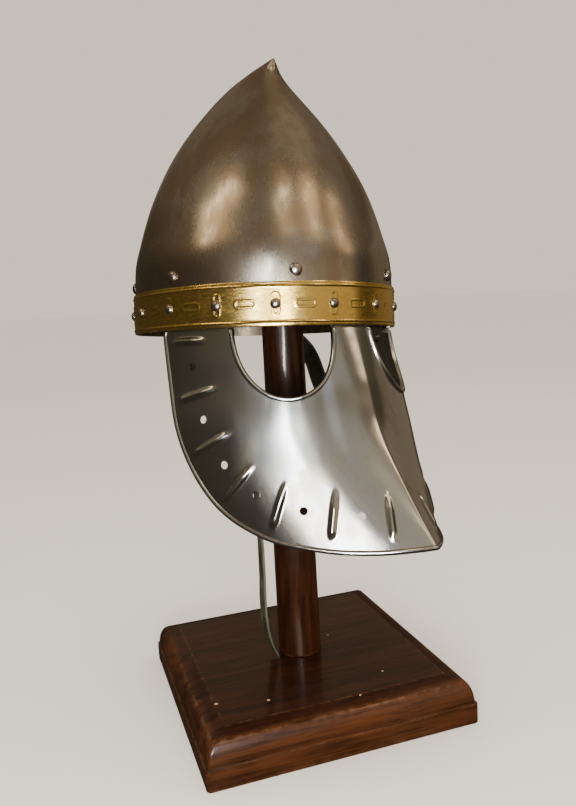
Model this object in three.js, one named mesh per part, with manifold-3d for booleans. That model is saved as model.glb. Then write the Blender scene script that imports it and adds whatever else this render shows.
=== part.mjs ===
// Spectacle guard helmet with a brass band, resting on a wooden post and a moulded square base.
// Millimetres, +Z up. The origin is at the centre of the base's underside, and the helmet faces -Y.
import * as THREE from "three";
import { mergeVertices } from "three/addons/utils/BufferGeometryUtils.js";
import Module from "manifold-3d";

const wasm = await Module();
wasm.setup();

// Fit between pieces that touch
const CLEARANCE = 0.3;

// Helmet bowl, measured over the brass band
const HELMET_HALF_WIDTH = 107.4;
const HELMET_HALF_DEPTH = 116.3;
const SKULL_HEIGHT = 223;
const SKULL_WALL = 1.6;
const TIP_LEAN = 25.8;

// Helmet's place on its post: its rim centre, and how far it has settled askew
const HELMET_OFFSET = { right: -11, back: 12, height: 328.5 };
const HELMET_PITCH_DEG = -2.7;
const HELMET_ROLL_DEG = 4;

// Brass band
const BAND_HEIGHT = 31.8;
const BAND_WALL = 1.2;
const BEAD_INSET = 3;
const BEAD_WIDTH = 1.8;
const BEAD_RISE = 0.6;

// Rivets
const BAND_RIVETS = 16;
const BAND_RIVET_RADIUS = 3.9;
const BAND_RIVET_RISE = 2.6;
const LINER_RIVETS = 7;
const LINER_RIVET_RADIUS = 4.3;
const LINER_RIVET_RISE = 2.9;
const LINER_RIVET_HEIGHT = 40;
const SHANK_RADIUS = 1.9;
const SHANK_END = 0.4;

// Face guard
const GUARD_WALL = 1.5;
const GUARD_DROP = 155;
const GUARD_TUCK = 25;
const PROW_REACH = 188;
const KEEL_SPREAD_DEG = 83;
const KEEL_SHARPNESS = 1.53;
const EYE_OUTER_DEG = 51.4;
const EYE_INNER_RIGHT_DEG = 12.6;
const EYE_INNER_LEFT_DEG = 8.6;
const EYE_DROP = 51;
const LIP_RADIUS = 1.6;
const EDGE_WIRE_RADIUS = 2;
const FLUTES_PER_SIDE = 7;
const FLUTE_LENGTH = 35;
const FLUTE_WIDTH = 7;
const FLUTE_RISE = 2.4;
const FLUTE_SUNK = 0.6;
const FLUTE_INSET = 7.3;
const FLUTE_BELOW_BAND = 8.5;
const PROW_MARGIN = 29.5;
const REAR_MARGIN = 7.2;
const HOLE_RADIUS = 3;
const HOLE_INSET = 25.2;

// Leather chin strap
const STRAP_WIDTH = 15;
const STRAP_THICKNESS = 1.8;
const STRAP_LAP = 9;
const BUCKLE_WALL = 1.8;
const BUCKLE_LENGTH = 10;

// Wooden post and base
const POST_RADIUS = 19.2;
const POST_TOP_RADIUS = 16.8;
const TENON_RADIUS = 12;
const TENON_LENGTH = 20;
const BASE_HEIGHT = 38;
const BASE_TOP_SIDE = 190;
const BASE_OUTSET = 20;
const BASE_CORNER_RADIUS = 4;
const BASE_TURN_DEG = -20.7;

// Skull sections from rim to tip: height as a share of the skull's height,
// girth as a share of its half width, lean as a share of the tip's lean
const SKULL_SECTIONS = [
  { rise: 0, girth: 1, lean: 0 },
  { rise: 0.15, girth: 1, lean: 0 },
  { rise: 0.25, girth: 0.988, lean: 0 },
  { rise: 0.35, girth: 0.935, lean: 0 },
  { rise: 0.45, girth: 0.872, lean: 0 },
  { rise: 0.55, girth: 0.786, lean: 0 },
  { rise: 0.65, girth: 0.672, lean: 0 },
  { rise: 0.75, girth: 0.531, lean: 0.045 },
  { rise: 0.83, girth: 0.391, lean: 0.11 },
  { rise: 0.88, girth: 0.293, lean: 0.175 },
  { rise: 0.92, girth: 0.206, lean: 0.29 },
  { rise: 0.955, girth: 0.12, lean: 0.52 },
  { rise: 0.98, girth: 0.054, lean: 0.78 },
  { rise: 1, girth: 0, lean: 1 },
];

// Guard sections from the band down: drop as a share of the guard's drop, spread as a share of
// its half width at the band, reach as a share of the keel's way from the band to the prow
const GUARD_SECTIONS = [
  { drop: 0, spread: 1, reach: 0 },
  { drop: 0.25, spread: 1.046, reach: 0.148 },
  { drop: 0.5, spread: 1.1, reach: 0.314 },
  { drop: 0.75, spread: 1.107, reach: 0.622 },
  { drop: 1, spread: 1.076, reach: 1 },
  { drop: 1.08, spread: 1.064, reach: 1.137 },
];

// Lower edge of the guard from the keel to the rear corner, drop as a share of the guard's drop
const GUARD_EDGE = [
  { turn: 0, drop: 1 },
  { turn: 8, drop: 1.008 },
  { turn: 18, drop: 1.015 },
  { turn: 32, drop: 1.006 },
  { turn: 48, drop: 0.951 },
  { turn: 62, drop: 0.794 },
  { turn: 74, drop: 0.482 },
  { turn: 84, drop: 0.038 },
];
const REAR_TURN_DEG = 84;

// Base moulding from its top edge down: outset as a share of the base's, height as a share of its own
const BASE_MOULDING = [
  { outset: 0, height: 1 },
  { outset: 0.3, height: 0.955 },
  { outset: 0.6, height: 0.91 },
  { outset: 0.73, height: 0.84 },
  { outset: 0.84, height: 0.72 },
  { outset: 0.9, height: 0.58 },
  { outset: 0.92, height: 0.48 },
  { outset: 1, height: 0.45 },
  { outset: 1, height: 0 },
];

// Chin strap's left half from the rim to the buckle: across and along as shares of the skull's half
// width and depth, height as a share of the guard's drop, facing as the leather's upper side
const STRAP_LEFT_ROUTE = [
  { across: 0.72, along: 0.27, height: -0.116, facing: [-0.8, -0.6, 0.1] },
  { across: 0.548, along: -0.045, height: -0.29, facing: [-0.75, -0.6, 0.25] },
  { across: 0.406, along: -0.314, height: -0.458, facing: [-0.55, -0.3, 0.7] },
  { across: 0.22, along: -0.42, height: -0.575, facing: [-0.3, 0.1, 0.95] },
  { across: 0.01, along: -0.405, height: -0.625, facing: [-0.05, 0.05, 1] },
];
const STRAP_BUCKLE = { across: -0.19, along: -0.345, height: -0.626, facing: [0.05, 0, 1] };

// The right half from the buckle up behind the cheek
const STRAP_RIGHT_ROUTE = [
  { across: -0.47, along: -0.29, height: -0.56, facing: [0.5, 0, 0.85] },
  { across: -0.66, along: -0.27, height: -0.4, facing: [0.75, 0.1, 0.6] },
  { across: -0.82, along: -0.245, height: -0.19, facing: [0.9, 0.15, 0.3] },
];

// Where the right half runs inside the skull's wall, height as a share of the liner rivets' height,
// inset as a share of the strap's thickness
const STRAP_WALL_ROUTE = [
  { turn: -80, height: 0.05, inset: 2.556 },
  { turn: -90, height: 0.42, inset: 1.889 },
  { turn: -102, height: 0.7, inset: 1.333 },
  { turn: -116, height: 0.88, inset: 0.889 },
];

// The free tail from the buckle down to the base: across and along as shares of half the base's top,
// height as a share of the way from the base's top to the buckle
const STRAP_TAIL_ROUTE = [
  { across: -0.584, along: -0.263, height: 0.96, facing: [-0.87, 0.36, 0.33] },
  { across: -0.584, along: -0.247, height: 0.858, facing: [-0.92, 0.38, 0] },
  { across: -0.558, along: -0.227, height: 0.61, facing: [-0.93, 0.36, 0] },
  { across: -0.547, along: -0.209, height: 0.454, facing: [-0.94, 0.34, 0] },
  { across: -0.526, along: -0.167, height: 0.312, facing: [-0.955, 0.3, 0] },
  { across: -0.432, along: -0.068, height: 0.16, facing: [-0.98, 0.2, 0] },
  { across: -0.268, along: 0.05, height: 0.0215, facing: [-0.995, 0.1, 0] },
];

// Flat sides that stand for the round of the bowl, and of the post
const COLUMNS = 48;
const POST_SIDES = 24;

const radians = THREE.MathUtils.degToRad;

const skullHalfWidth = HELMET_HALF_WIDTH - BAND_WALL - CLEARANCE;
const skullHalfDepth = HELMET_HALF_DEPTH - BAND_WALL - CLEARANCE;
const guardHalfWidth = skullHalfWidth - SKULL_WALL - CLEARANCE;
const guardHalfDepth = skullHalfDepth - SKULL_WALL - CLEARANCE;

const steel = new THREE.MeshStandardMaterial({ color: 0x8f8d88, roughness: 0.25, metalness: 1 });
const brass = new THREE.MeshStandardMaterial({ color: 0xb5902f, roughness: 0.3, metalness: 1 });
const rivetSteel = new THREE.MeshStandardMaterial({ color: 0x77756f, roughness: 0.35, metalness: 1 });
const leather = new THREE.MeshStandardMaterial({ color: 0x3b3f33, roughness: 0.6, metalness: 0 });
const mahogany = new THREE.MeshStandardMaterial({ color: 0x3a1710, roughness: 0.25, metalness: 0 });

// A smooth curve through one column of a table
function columnCurve(rows, key, value) {
  const keys = rows.map((row) => row[key]);
  const values = rows.map((row) => row[value]);
  const curve = new THREE.CubicInterpolant(keys, values, 1);
  return (at) => curve.evaluate(at)[0];
}

// A closed solid through rings of points, listed anticlockwise as seen from the last ring.
// The ends close on a middle point, or the last ring joins the first one.
function loft(rings, { startTip = middle(rings[0]), endTip = middle(rings.at(-1)), wraps = false } = {}) {
  const points = rings.flat();
  const size = rings[0].length;
  const triangles = [];
  const spans = wraps ? rings.length : rings.length - 1;
  for (let i = 0; i < spans; i += 1) {
    const lower = i * size;
    const upper = ((i + 1) % rings.length) * size;
    for (let j = 0; j < size; j += 1) {
      const next = (j + 1) % size;
      triangles.push([lower + j, lower + next, upper + next], [lower + j, upper + next, upper + j]);
    }
  }
  if (!wraps) {
    const last = (rings.length - 1) * size;
    points.push(startTip, endTip);
    for (let j = 0; j < size; j += 1) {
      const next = (j + 1) % size;
      triangles.push([points.length - 2, next, j], [points.length - 1, last + j, last + next]);
    }
  }
  return toSolid(points, triangles);
}

function middle(points) {
  const sum = points.reduce((total, point) => total.add(point), new THREE.Vector3());
  return sum.divideScalar(points.length);
}

function toSolid(points, triangles) {
  const geometry = new THREE.BufferGeometry();
  geometry.setAttribute("position", new THREE.Float32BufferAttribute(points.flatMap((p) => p.toArray()), 3));
  geometry.setIndex(triangles.flat());
  return solidOf(geometry);
}

function solidOf(geometry) {
  const bare = geometry.clone();
  bare.deleteAttribute("normal");
  bare.deleteAttribute("uv");
  const merged = mergeVertices(bare, 1e-4);
  const mesh = new wasm.Mesh({
    numProp: 3,
    vertProperties: new Float32Array(merged.attributes.position.array),
    triVerts: new Uint32Array(merged.index.array),
  });
  return new wasm.Manifold(mesh);
}

function geometryOf(solid) {
  const mesh = solid.getMesh();
  const geometry = new THREE.BufferGeometry();
  geometry.setAttribute("position", new THREE.BufferAttribute(new Float32Array(mesh.vertProperties), 3));
  geometry.setIndex(new THREE.BufferAttribute(new Uint32Array(mesh.triVerts), 1));
  geometry.computeVertexNormals();
  return geometry;
}

function addPiece(parent, name, geometry, material) {
  const mesh = new THREE.Mesh(geometry, material);
  mesh.name = name;
  parent.add(mesh);
  return mesh;
}

// A prism with flat sides along a line, used to drill rivet and air holes
function drill(centre, axis, radius, sides, inward, outward) {
  const turn = new THREE.Quaternion().setFromUnitVectors(new THREE.Vector3(0, 0, 1), axis);
  const ringAt = (along) => {
    const ring = [];
    for (let j = 0; j < sides; j += 1) {
      const angle = (2 * Math.PI * j) / sides;
      const point = new THREE.Vector3(radius * Math.cos(angle), radius * Math.sin(angle), along);
      ring.push(point.applyQuaternion(turn).add(centre));
    }
    return ring;
  };
  return loft([ringAt(-inward), ringAt(outward)]);
}

// A tube with flat sides along points on a surface, with the surface's normal at each point
function tube(path, radius, sides) {
  const rings = path.map(({ point, normal }, i) => {
    const ahead = path[Math.min(i + 1, path.length - 1)].point;
    const behind = path[Math.max(i - 1, 0)].point;
    const tangent = ahead.clone().sub(behind).normalize();
    const side = new THREE.Vector3().crossVectors(tangent, normal).normalize();
    const out = new THREE.Vector3().crossVectors(side, tangent);
    const ring = [];
    for (let j = 0; j < sides; j += 1) {
      const angle = (2 * Math.PI * (j + 0.5)) / sides;
      const offset = out.clone().multiplyScalar(radius * Math.cos(angle));
      ring.push(offset.addScaledVector(side, radius * Math.sin(angle)).add(point));
    }
    return ring;
  });
  return loft(rings);
}

// The plan of the bowl is an ellipse. Turn is measured from the front, positive to the wearer's left.
function planPoint(halfWidth, halfDepth, turn, height) {
  return new THREE.Vector3(halfWidth * Math.sin(turn), -halfDepth * Math.cos(turn), height);
}

function planNormal(halfWidth, halfDepth, turn) {
  return new THREE.Vector3(Math.sin(turn) / halfWidth, -Math.cos(turn) / halfDepth, 0).normalize();
}

// Turns that share the ellipse's length evenly, with the front midway between the first and the last
function evenTurns(halfWidth, halfDepth, count) {
  const steps = 3600;
  const lengths = [0];
  for (let i = 0; i < steps; i += 1) {
    const turn = (2 * Math.PI * (i + 0.5)) / steps;
    const speed = Math.hypot(halfWidth * Math.cos(turn), halfDepth * Math.sin(turn));
    lengths.push(lengths[i] + speed);
  }
  const turns = [];
  for (let k = 0; k < count; k += 1) {
    const wanted = (lengths[steps] * (k + 0.5)) / count;
    turns.push((2 * Math.PI * lengths.findIndex((length) => length >= wanted)) / steps);
  }
  return turns;
}

const girthAt = columnCurve(SKULL_SECTIONS, "rise", "girth");
const leanAt = columnCurve(SKULL_SECTIONS, "rise", "lean");

function skullSurface(rise, turn) {
  const girth = girthAt(rise);
  const depthShare = skullHalfDepth / skullHalfWidth;
  const depth = 1 + (depthShare - 1) * (1 - rise * rise);
  const point = planPoint(skullHalfWidth * girth, skullHalfWidth * depth * girth, turn, rise * SKULL_HEIGHT);
  point.y -= leanAt(rise) * TIP_LEAN;
  return point;
}

function skullNormal(rise, turn) {
  const step = 1e-3;
  const up = skullSurface(rise + step, turn).sub(skullSurface(rise - step, turn));
  const round = skullSurface(rise, turn + step).sub(skullSurface(rise, turn - step));
  return round.cross(up).normalize();
}

// The bowl's solid form, set in by a wall's thickness and reaching below the rim by some length
function skullForm(inset, below) {
  const ringCount = 11;
  const tipRise = 0.975;
  const rings = [];
  for (let i = -1; i <= ringCount; i += 1) {
    const share = Math.max(i, 0) / ringCount;
    const rise = tipRise * (1 - (1 - share) ** 1.35);
    const ring = [];
    for (let j = 0; j < COLUMNS; j += 1) {
      const turn = (2 * Math.PI * j) / COLUMNS;
      const point = skullSurface(rise, turn).addScaledVector(skullNormal(Math.max(rise, 0.05), turn), -inset);
      if (i < 0) point.z = -below;
      ring.push(point);
    }
    rings.push(ring);
  }
  if (below === 0) rings.shift();
  const endTip = skullSurface(1, 0).add(new THREE.Vector3(0, inset, -1.4 * inset));
  return loft(rings, { endTip });
}

function rivetAxes(turns, halfWidth, halfDepth, height) {
  return turns.map((turn) => ({
    turn,
    seat: planPoint(halfWidth, halfDepth, turn, height),
    axis: planNormal(halfWidth, halfDepth, turn),
  }));
}

const bandRivets = rivetAxes(
  evenTurns(HELMET_HALF_WIDTH, HELMET_HALF_DEPTH, BAND_RIVETS),
  HELMET_HALF_WIDTH,
  HELMET_HALF_DEPTH,
  BAND_HEIGHT / 2,
);
const linerRivets = rivetAxes(
  evenTurns(skullHalfWidth, skullHalfDepth, LINER_RIVETS),
  skullHalfWidth,
  skullHalfDepth,
  LINER_RIVET_HEIGHT,
);

const shankSides = 6;
const drillReach = 14;
const drillRadius = (SHANK_RADIUS + CLEARANCE) / Math.cos(Math.PI / shankSides);
const rivetDrills = [...bandRivets, ...linerRivets].map(({ seat, axis }) =>
  drill(seat, axis, drillRadius, shankSides, drillReach, drillReach),
);

function drilled(solid, drills) {
  return drills.reduce((rest, cutter) => rest.subtract(cutter), solid);
}

// Skull: one raised shell, open at the rim
function skullGeometry() {
  const shell = skullForm(0, 0).subtract(skullForm(SKULL_WALL, 1));
  return geometryOf(drilled(shell, rivetDrills));
}

// Band: a flat strip bent round the rim, with a raised line along each edge
function bandGeometry() {
  const innerHalfWidth = HELMET_HALF_WIDTH - BAND_WALL;
  const innerHalfDepth = HELMET_HALF_DEPTH - BAND_WALL;
  const bead = (middleHeight) => [
    [BAND_WALL, middleHeight - BEAD_WIDTH / 2],
    [BAND_WALL + BEAD_RISE, middleHeight],
    [BAND_WALL, middleHeight + BEAD_WIDTH / 2],
  ];
  const profile = [
    [0, 0],
    [BAND_WALL, 0],
    ...bead(BEAD_INSET),
    ...bead(BAND_HEIGHT - BEAD_INSET),
    [BAND_WALL, BAND_HEIGHT],
    [0, BAND_HEIGHT],
  ];
  const rings = [];
  for (let j = 0; j < COLUMNS; j += 1) {
    const turn = (2 * Math.PI * j) / COLUMNS;
    const ring = profile.map(([out, height]) =>
      planPoint(innerHalfWidth + out, innerHalfDepth + out, turn, height),
    );
    rings.push(ring.reverse());
  }
  return geometryOf(drilled(loft(rings, { wraps: true }), rivetDrills));
}

// Rivet: a low dome on a shank, turned about its own axis
function rivetGeometry(radius, rise, shankLength) {
  const profile = [
    [0, -shankLength],
    [SHANK_RADIUS, -shankLength],
    [SHANK_RADIUS, CLEARANCE],
    [radius, CLEARANCE],
    [radius * 0.8, CLEARANCE + rise * 0.65],
    [0, CLEARANCE + rise],
  ];
  const lathe = new THREE.LatheGeometry(profile.map(([r, y]) => new THREE.Vector2(r, y)), shankSides + 1);
  return geometryOf(solidOf(lathe));
}

function addRivets(parent, prefix, places, geometry) {
  places.forEach(({ seat, axis }, i) => {
    const name = `${prefix}_${String(i + 1).padStart(2, "0")}`;
    const rivet = addPiece(parent, name, geometry, rivetSteel);
    rivet.position.copy(seat);
    rivet.quaternion.setFromUnitVectors(new THREE.Vector3(0, 1, 0), axis);
  });
}

const spreadAt = columnCurve(GUARD_SECTIONS, "drop", "spread");
const reachAt = columnCurve(GUARD_SECTIONS, "drop", "reach");
const edgeAt = columnCurve(GUARD_EDGE, "turn", "drop");

// Outer surface of the guard at a turn from the keel and a depth below the band
function guardSurface(turn, depth) {
  const share = Math.max(depth, 0) / GUARD_DROP;
  const halfWidth = guardHalfWidth * spreadAt(share);
  const halfDepth = guardHalfDepth * spreadAt(share);
  const keel = guardHalfDepth + reachAt(share) * (PROW_REACH - guardHalfDepth);
  const wedge = Math.max(1 - Math.abs(turn) / radians(KEEL_SPREAD_DEG), 0) ** KEEL_SHARPNESS;
  const point = planPoint(halfWidth, halfDepth, turn, -depth);
  point.y -= (keel - halfDepth) * wedge;
  return point;
}

function guardSlopes(turn, depth) {
  const step = 1e-3;
  const round = guardSurface(turn + step, depth).sub(guardSurface(turn - step, depth)).divideScalar(2 * step);
  const low = Math.max(depth, 0) + step;
  const down = guardSurface(turn, low + step).sub(guardSurface(turn, low - step)).divideScalar(2 * step);
  if (depth <= 0) down.set(0, 0, -1);
  return { round, down };
}

function guardNormal(turn, depth) {
  const { round, down } = guardSlopes(turn, depth);
  return down.cross(round).normalize();
}

function guardPlace(turn, depth, out = 0) {
  const normal = guardNormal(turn, depth);
  return { point: guardSurface(turn, depth).addScaledVector(normal, out), normal };
}

function edgeDepth(turn) {
  return GUARD_DROP * edgeAt(Math.abs(THREE.MathUtils.radToDeg(turn)));
}

// Columns of the sheet from the wearer's right to the left, closer together at the steep rear edge
function guardTurns() {
  const half = [];
  for (let turn = 0; turn <= 75; turn += 360 / COLUMNS) half.push(turn);
  half.push(78.5, 81.5, REAR_TURN_DEG);
  const all = [...half.slice(1).reverse().map((turn) => -turn), ...half];
  return all.map(radians);
}

// The sheet's outer and inner faces stitched round their borders
function guardSheet() {
  const rowShares = [0, 0.17, 0.34, 0.51, 0.68, 0.84, 1];
  const columns = guardTurns().map((turn) => {
    const depths = [-GUARD_TUCK, ...rowShares.map((share) => share * edgeDepth(turn))];
    const outer = depths.map((depth) => guardPlace(turn, depth).point);
    const inner = depths.map((depth) => guardPlace(turn, depth, -GUARD_WALL).point);
    return [...outer, ...inner.reverse()];
  });
  const size = columns[0].length;
  const rows = size / 2;
  const points = columns.flat();
  const triangles = [];
  for (let i = 0; i < columns.length - 1; i += 1) {
    for (let j = 0; j < size; j += 1) {
      const a = i * size + j;
      const b = i * size + ((j + 1) % size);
      triangles.push([a, b, b + size], [a, b + size, a + size]);
    }
  }
  const last = (columns.length - 1) * size;
  for (let j = 0; j < rows - 1; j += 1) {
    const facing = size - 1 - j;
    triangles.push([j, facing, j + 1], [facing, facing - 1, j + 1]);
    triangles.push([last + j, last + j + 1, last + facing], [last + facing, last + j + 1, last + facing - 1]);
  }
  return toSolid(points, triangles);
}

// The middle and half the width of an eye opening, as turns from the keel
function eyeSpan(side) {
  const inner = side < 0 ? EYE_INNER_RIGHT_DEG : EYE_INNER_LEFT_DEG;
  return { turn: (side * radians(EYE_OUTER_DEG + inner)) / 2, halfTurn: radians(EYE_OUTER_DEG - inner) / 2 };
}

// Points of an eye opening: half an ellipse hanging from the band
function eyeOutline(side, steps, grow = 0) {
  const span = eyeSpan(side);
  const outline = [];
  for (let i = 0; i <= steps; i += 1) {
    const angle = (Math.PI * i) / steps;
    const halfTurn = span.halfTurn + grow / guardHalfWidth;
    const turn = span.turn - side * halfTurn * Math.cos(angle);
    outline.push({ turn, depth: Math.max((EYE_DROP + grow) * Math.sin(angle), CLEARANCE + 0.5) });
  }
  return outline;
}

function eyeCutter(side) {
  const above = 1.5;
  const outline = eyeOutline(side, 16);
  const corners = [outline.at(-1), outline[0]].map(({ turn }) => ({ turn, depth: -above }));
  const border = [...outline, ...corners];
  const centre = { turn: eyeSpan(side).turn, depth: EYE_DROP * 0.4 };
  const ringAt = (out) => border.map(({ turn, depth }) => guardPlace(turn, depth, out).point);
  const inside = 8;
  const outside = 10;
  const rings = [ringAt(-inside), ringAt(outside)];
  if (side < 0) rings.forEach((ring) => ring.reverse());
  return loft(rings, {
    startTip: guardPlace(centre.turn, centre.depth, -inside).point,
    endTip: guardPlace(centre.turn, centre.depth, outside).point,
  });
}

function eyeLip(side) {
  const path = eyeOutline(side, 16, LIP_RADIUS * 0.7);
  return tube(path.map(({ turn, depth }) => guardPlace(turn, depth, LIP_RADIUS * 0.4)), LIP_RADIUS, 5);
}

function edgeWire() {
  const turns = guardTurns();
  const path = turns.map((turn) => guardPlace(turn, edgeDepth(turn), -GUARD_WALL / 2));
  const end = (turn) => guardPlace(turn, EDGE_WIRE_RADIUS / 2, -GUARD_WALL / 2);
  return tube([end(turns[0]), ...path, end(turns.at(-1))], EDGE_WIRE_RADIUS, 5);
}

// The lower edge measured along its length, from the prow to the rear corner
function edgeLengths() {
  const steps = 240;
  const marks = [{ turn: 0, length: 0 }];
  for (let i = 1; i <= steps; i += 1) {
    const turn = radians((REAR_TURN_DEG * i) / steps);
    const before = marks[i - 1];
    const start = guardSurface(before.turn, edgeDepth(before.turn));
    const length = before.length + start.distanceTo(guardSurface(turn, edgeDepth(turn)));
    marks.push({ turn, length });
  }
  return marks;
}

const edgeMarks = edgeLengths();
const edgeLength = edgeMarks.at(-1).length;

// Walks over the surface from a mark on the lower edge, square to that edge
function inFromEdge(side, along, distance) {
  const mark = edgeMarks.find(({ length }) => length >= along);
  let turn = mark.turn;
  let depth = edgeDepth(turn);
  const near = guardSurface(turn - 0.01, edgeDepth(turn - 0.01));
  const tangent = guardSurface(turn + 0.01, edgeDepth(turn + 0.01)).sub(near).normalize();
  const inward = tangent.cross(guardNormal(turn, depth)).normalize();
  if (inward.z < 0) inward.negate();
  const steps = 10;
  for (let i = 0; i < steps; i += 1) {
    const { round, down } = guardSlopes(turn, depth);
    const mix = round.dot(down);
    const scale = round.lengthSq() * down.lengthSq() - mix * mix;
    const alongRound = inward.dot(round) * (distance / steps);
    const alongDown = inward.dot(down) * (distance / steps);
    turn += (alongRound * down.lengthSq() - alongDown * mix) / scale;
    depth += (alongDown * round.lengthSq() - alongRound * mix) / scale;
  }
  return { turn: side * turn, depth };
}

const flutePitch = (edgeLength - PROW_MARGIN - REAR_MARGIN) / (FLUTES_PER_SIDE - 1);

// Flute: a pressed ridge with rounded ends, standing square to the lower edge
function flute(side, along) {
  const shares = [0.12, 0.88];
  const placeAt = (share) => {
    const { turn, depth } = inFromEdge(side, along, FLUTE_INSET + share * FLUTE_LENGTH);
    return guardPlace(turn, Math.max(depth, FLUTE_BELOW_BAND));
  };
  const start = placeAt(0);
  const end = placeAt(1);
  const direction = end.point.clone().sub(start.point).normalize();
  const rings = shares.map((share) => {
    const { point, normal } = placeAt(share);
    const across = new THREE.Vector3().crossVectors(direction, normal).normalize();
    const half = FLUTE_WIDTH / 2;
    const section = [
      [-half, -FLUTE_SUNK],
      [-half / 2, FLUTE_RISE],
      [half / 2, FLUTE_RISE],
      [half, -FLUTE_SUNK],
    ];
    return section.map(([sideways, out]) =>
      point.clone().addScaledVector(across, sideways).addScaledVector(normal, out),
    );
  });
  const sunk = (place) => place.point.clone().addScaledVector(place.normal, -FLUTE_SUNK);
  return loft(rings, { startTip: sunk(start), endTip: sunk(end) });
}

function airHole(side, along) {
  const { turn, depth } = inFromEdge(side, along, HOLE_INSET);
  const { point, normal } = guardPlace(turn, depth);
  const sides = 8;
  const reach = 8;
  return drill(point, normal, HOLE_RADIUS, sides, reach, reach);
}

// Face guard: one sheet with its openings cut, then its lips, flutes and rolled edge raised on it
function guardGeometry() {
  let sheet = drilled(guardSheet(), rivetDrills);
  for (const side of [-1, 1]) {
    sheet = sheet.subtract(eyeCutter(side));
    for (let i = 0; i < FLUTES_PER_SIDE - 1; i += 1) {
      sheet = sheet.subtract(airHole(side, PROW_MARGIN + (i + 0.5) * flutePitch));
    }
  }
  for (const side of [-1, 1]) {
    sheet = sheet.add(eyeLip(side));
    for (let i = 0; i < FLUTES_PER_SIDE; i += 1) {
      sheet = sheet.add(flute(side, PROW_MARGIN + i * flutePitch));
    }
  }
  return geometryOf(sheet.add(edgeWire()));
}

// The helmet's own group, in which its rim lies in the XY plane
const helmet = new THREE.Group();
helmet.position.set(HELMET_OFFSET.right, HELMET_OFFSET.back, HELMET_OFFSET.height);
helmet.rotation.set(radians(HELMET_PITCH_DEG), radians(HELMET_ROLL_DEG), 0);
helmet.updateMatrix();

// Post: turned wood that tapers upward, tenoned into the base, its head worked to the bowl's hollow
function postGeometry() {
  const rings = [];
  const profile = [
    [TENON_RADIUS - CLEARANCE, BASE_HEIGHT - TENON_LENGTH + CLEARANCE],
    [TENON_RADIUS - CLEARANCE, BASE_HEIGHT + CLEARANCE],
    [POST_RADIUS, BASE_HEIGHT + CLEARANCE],
    [POST_TOP_RADIUS, HELMET_OFFSET.height + SKULL_HEIGHT],
  ];
  for (const [radius, height] of profile) {
    const ring = [];
    for (let j = 0; j < POST_SIDES; j += 1) {
      ring.push(planPoint(radius, radius, (2 * Math.PI * j) / POST_SIDES, height));
    }
    rings.push(ring);
  }
  const depthBelow = HELMET_OFFSET.height + TENON_LENGTH;
  const hollow = skullForm(SKULL_WALL + CLEARANCE, depthBelow).transform([...helmet.matrix.elements]);
  return geometryOf(loft(rings).intersect(hollow));
}

// Base: a square board with a moulded edge, softened corners and a socket for the post
function baseGeometry() {
  const cornerSteps = 3;
  const rings = BASE_MOULDING.map(({ outset, height }) => {
    const half = BASE_TOP_SIDE / 2 + outset * BASE_OUTSET;
    const centre = half - BASE_CORNER_RADIUS;
    const ring = [];
    for (const quarter of [0, 1, 2, 3]) {
      for (let i = 0; i <= cornerSteps; i += 1) {
        const angle = (Math.PI / 2) * (quarter + i / cornerSteps);
        const cornerX = quarter === 0 || quarter === 3 ? centre : -centre;
        const cornerY = quarter < 2 ? centre : -centre;
        const x = cornerX + BASE_CORNER_RADIUS * Math.cos(angle);
        const y = cornerY + BASE_CORNER_RADIUS * Math.sin(angle);
        ring.push(new THREE.Vector3(x, y, height * BASE_HEIGHT));
      }
    }
    return ring;
  }).reverse();
  const floor = new THREE.Vector3(0, 0, BASE_HEIGHT - TENON_LENGTH);
  const up = new THREE.Vector3(0, 0, 1);
  const socket = drill(floor, up, TENON_RADIUS, POST_SIDES, 0, TENON_LENGTH + 1);
  return geometryOf(loft(rings).subtract(socket));
}

// A flat strip of leather through places with a middle point and a facing
function ribbon(places) {
  const middles = new THREE.CatmullRomCurve3(places.map(({ point }) => point));
  const facings = new THREE.CatmullRomCurve3(places.map(({ facing }) => facing));
  const steps = (places.length - 1) * 2;
  const rings = [];
  for (let i = 0; i <= steps; i += 1) {
    const tangent = middles.getTangent(i / steps);
    const side = tangent.clone().cross(facings.getPoint(i / steps)).normalize();
    const up = side.clone().cross(tangent);
    const corners = [[1, 1], [1, -1], [-1, -1], [-1, 1]];
    rings.push(corners.map(([sideways, upward]) =>
      middles.getPoint(i / steps)
        .addScaledVector(side, (sideways * STRAP_WIDTH) / 2)
        .addScaledVector(up, (upward * STRAP_THICKNESS) / 2),
    ));
  }
  return loft(rings);
}

function strapPlace({ across, along, height, facing }) {
  const point = new THREE.Vector3(across * skullHalfWidth, along * skullHalfDepth, height * GUARD_DROP);
  return { point, facing: new THREE.Vector3(...facing).normalize() };
}

// A place against the skull's inner wall, its facing inward
function wallPlace(turn, height, inset) {
  const rise = height / SKULL_HEIGHT;
  const normal = skullNormal(Math.max(rise, 0.05), turn);
  const point = skullSurface(rise, turn).addScaledVector(normal, -SKULL_WALL - inset);
  return { point, facing: normal.negate() };
}

// How far a flat width stands off the round wall at its middle, the strap's and one facet's together
const standOff = (STRAP_WIDTH ** 2 + ((2 * Math.PI * skullHalfWidth) / COLUMNS) ** 2) / (8 * skullHalfWidth);
const strapSeat = CLEARANCE + STRAP_THICKNESS / 2 + standOff;
const buckle = strapPlace(STRAP_BUCKLE);
const intoBuckle = buckle.point.clone().sub(strapPlace(STRAP_LEFT_ROUTE.at(-1)).point).normalize();
const buckleSide = intoBuckle.clone().cross(buckle.facing).normalize();
const buckleUp = buckleSide.clone().cross(intoBuckle);
const halfLap = (STRAP_THICKNESS + 3 * CLEARANCE) / 2;

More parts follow.
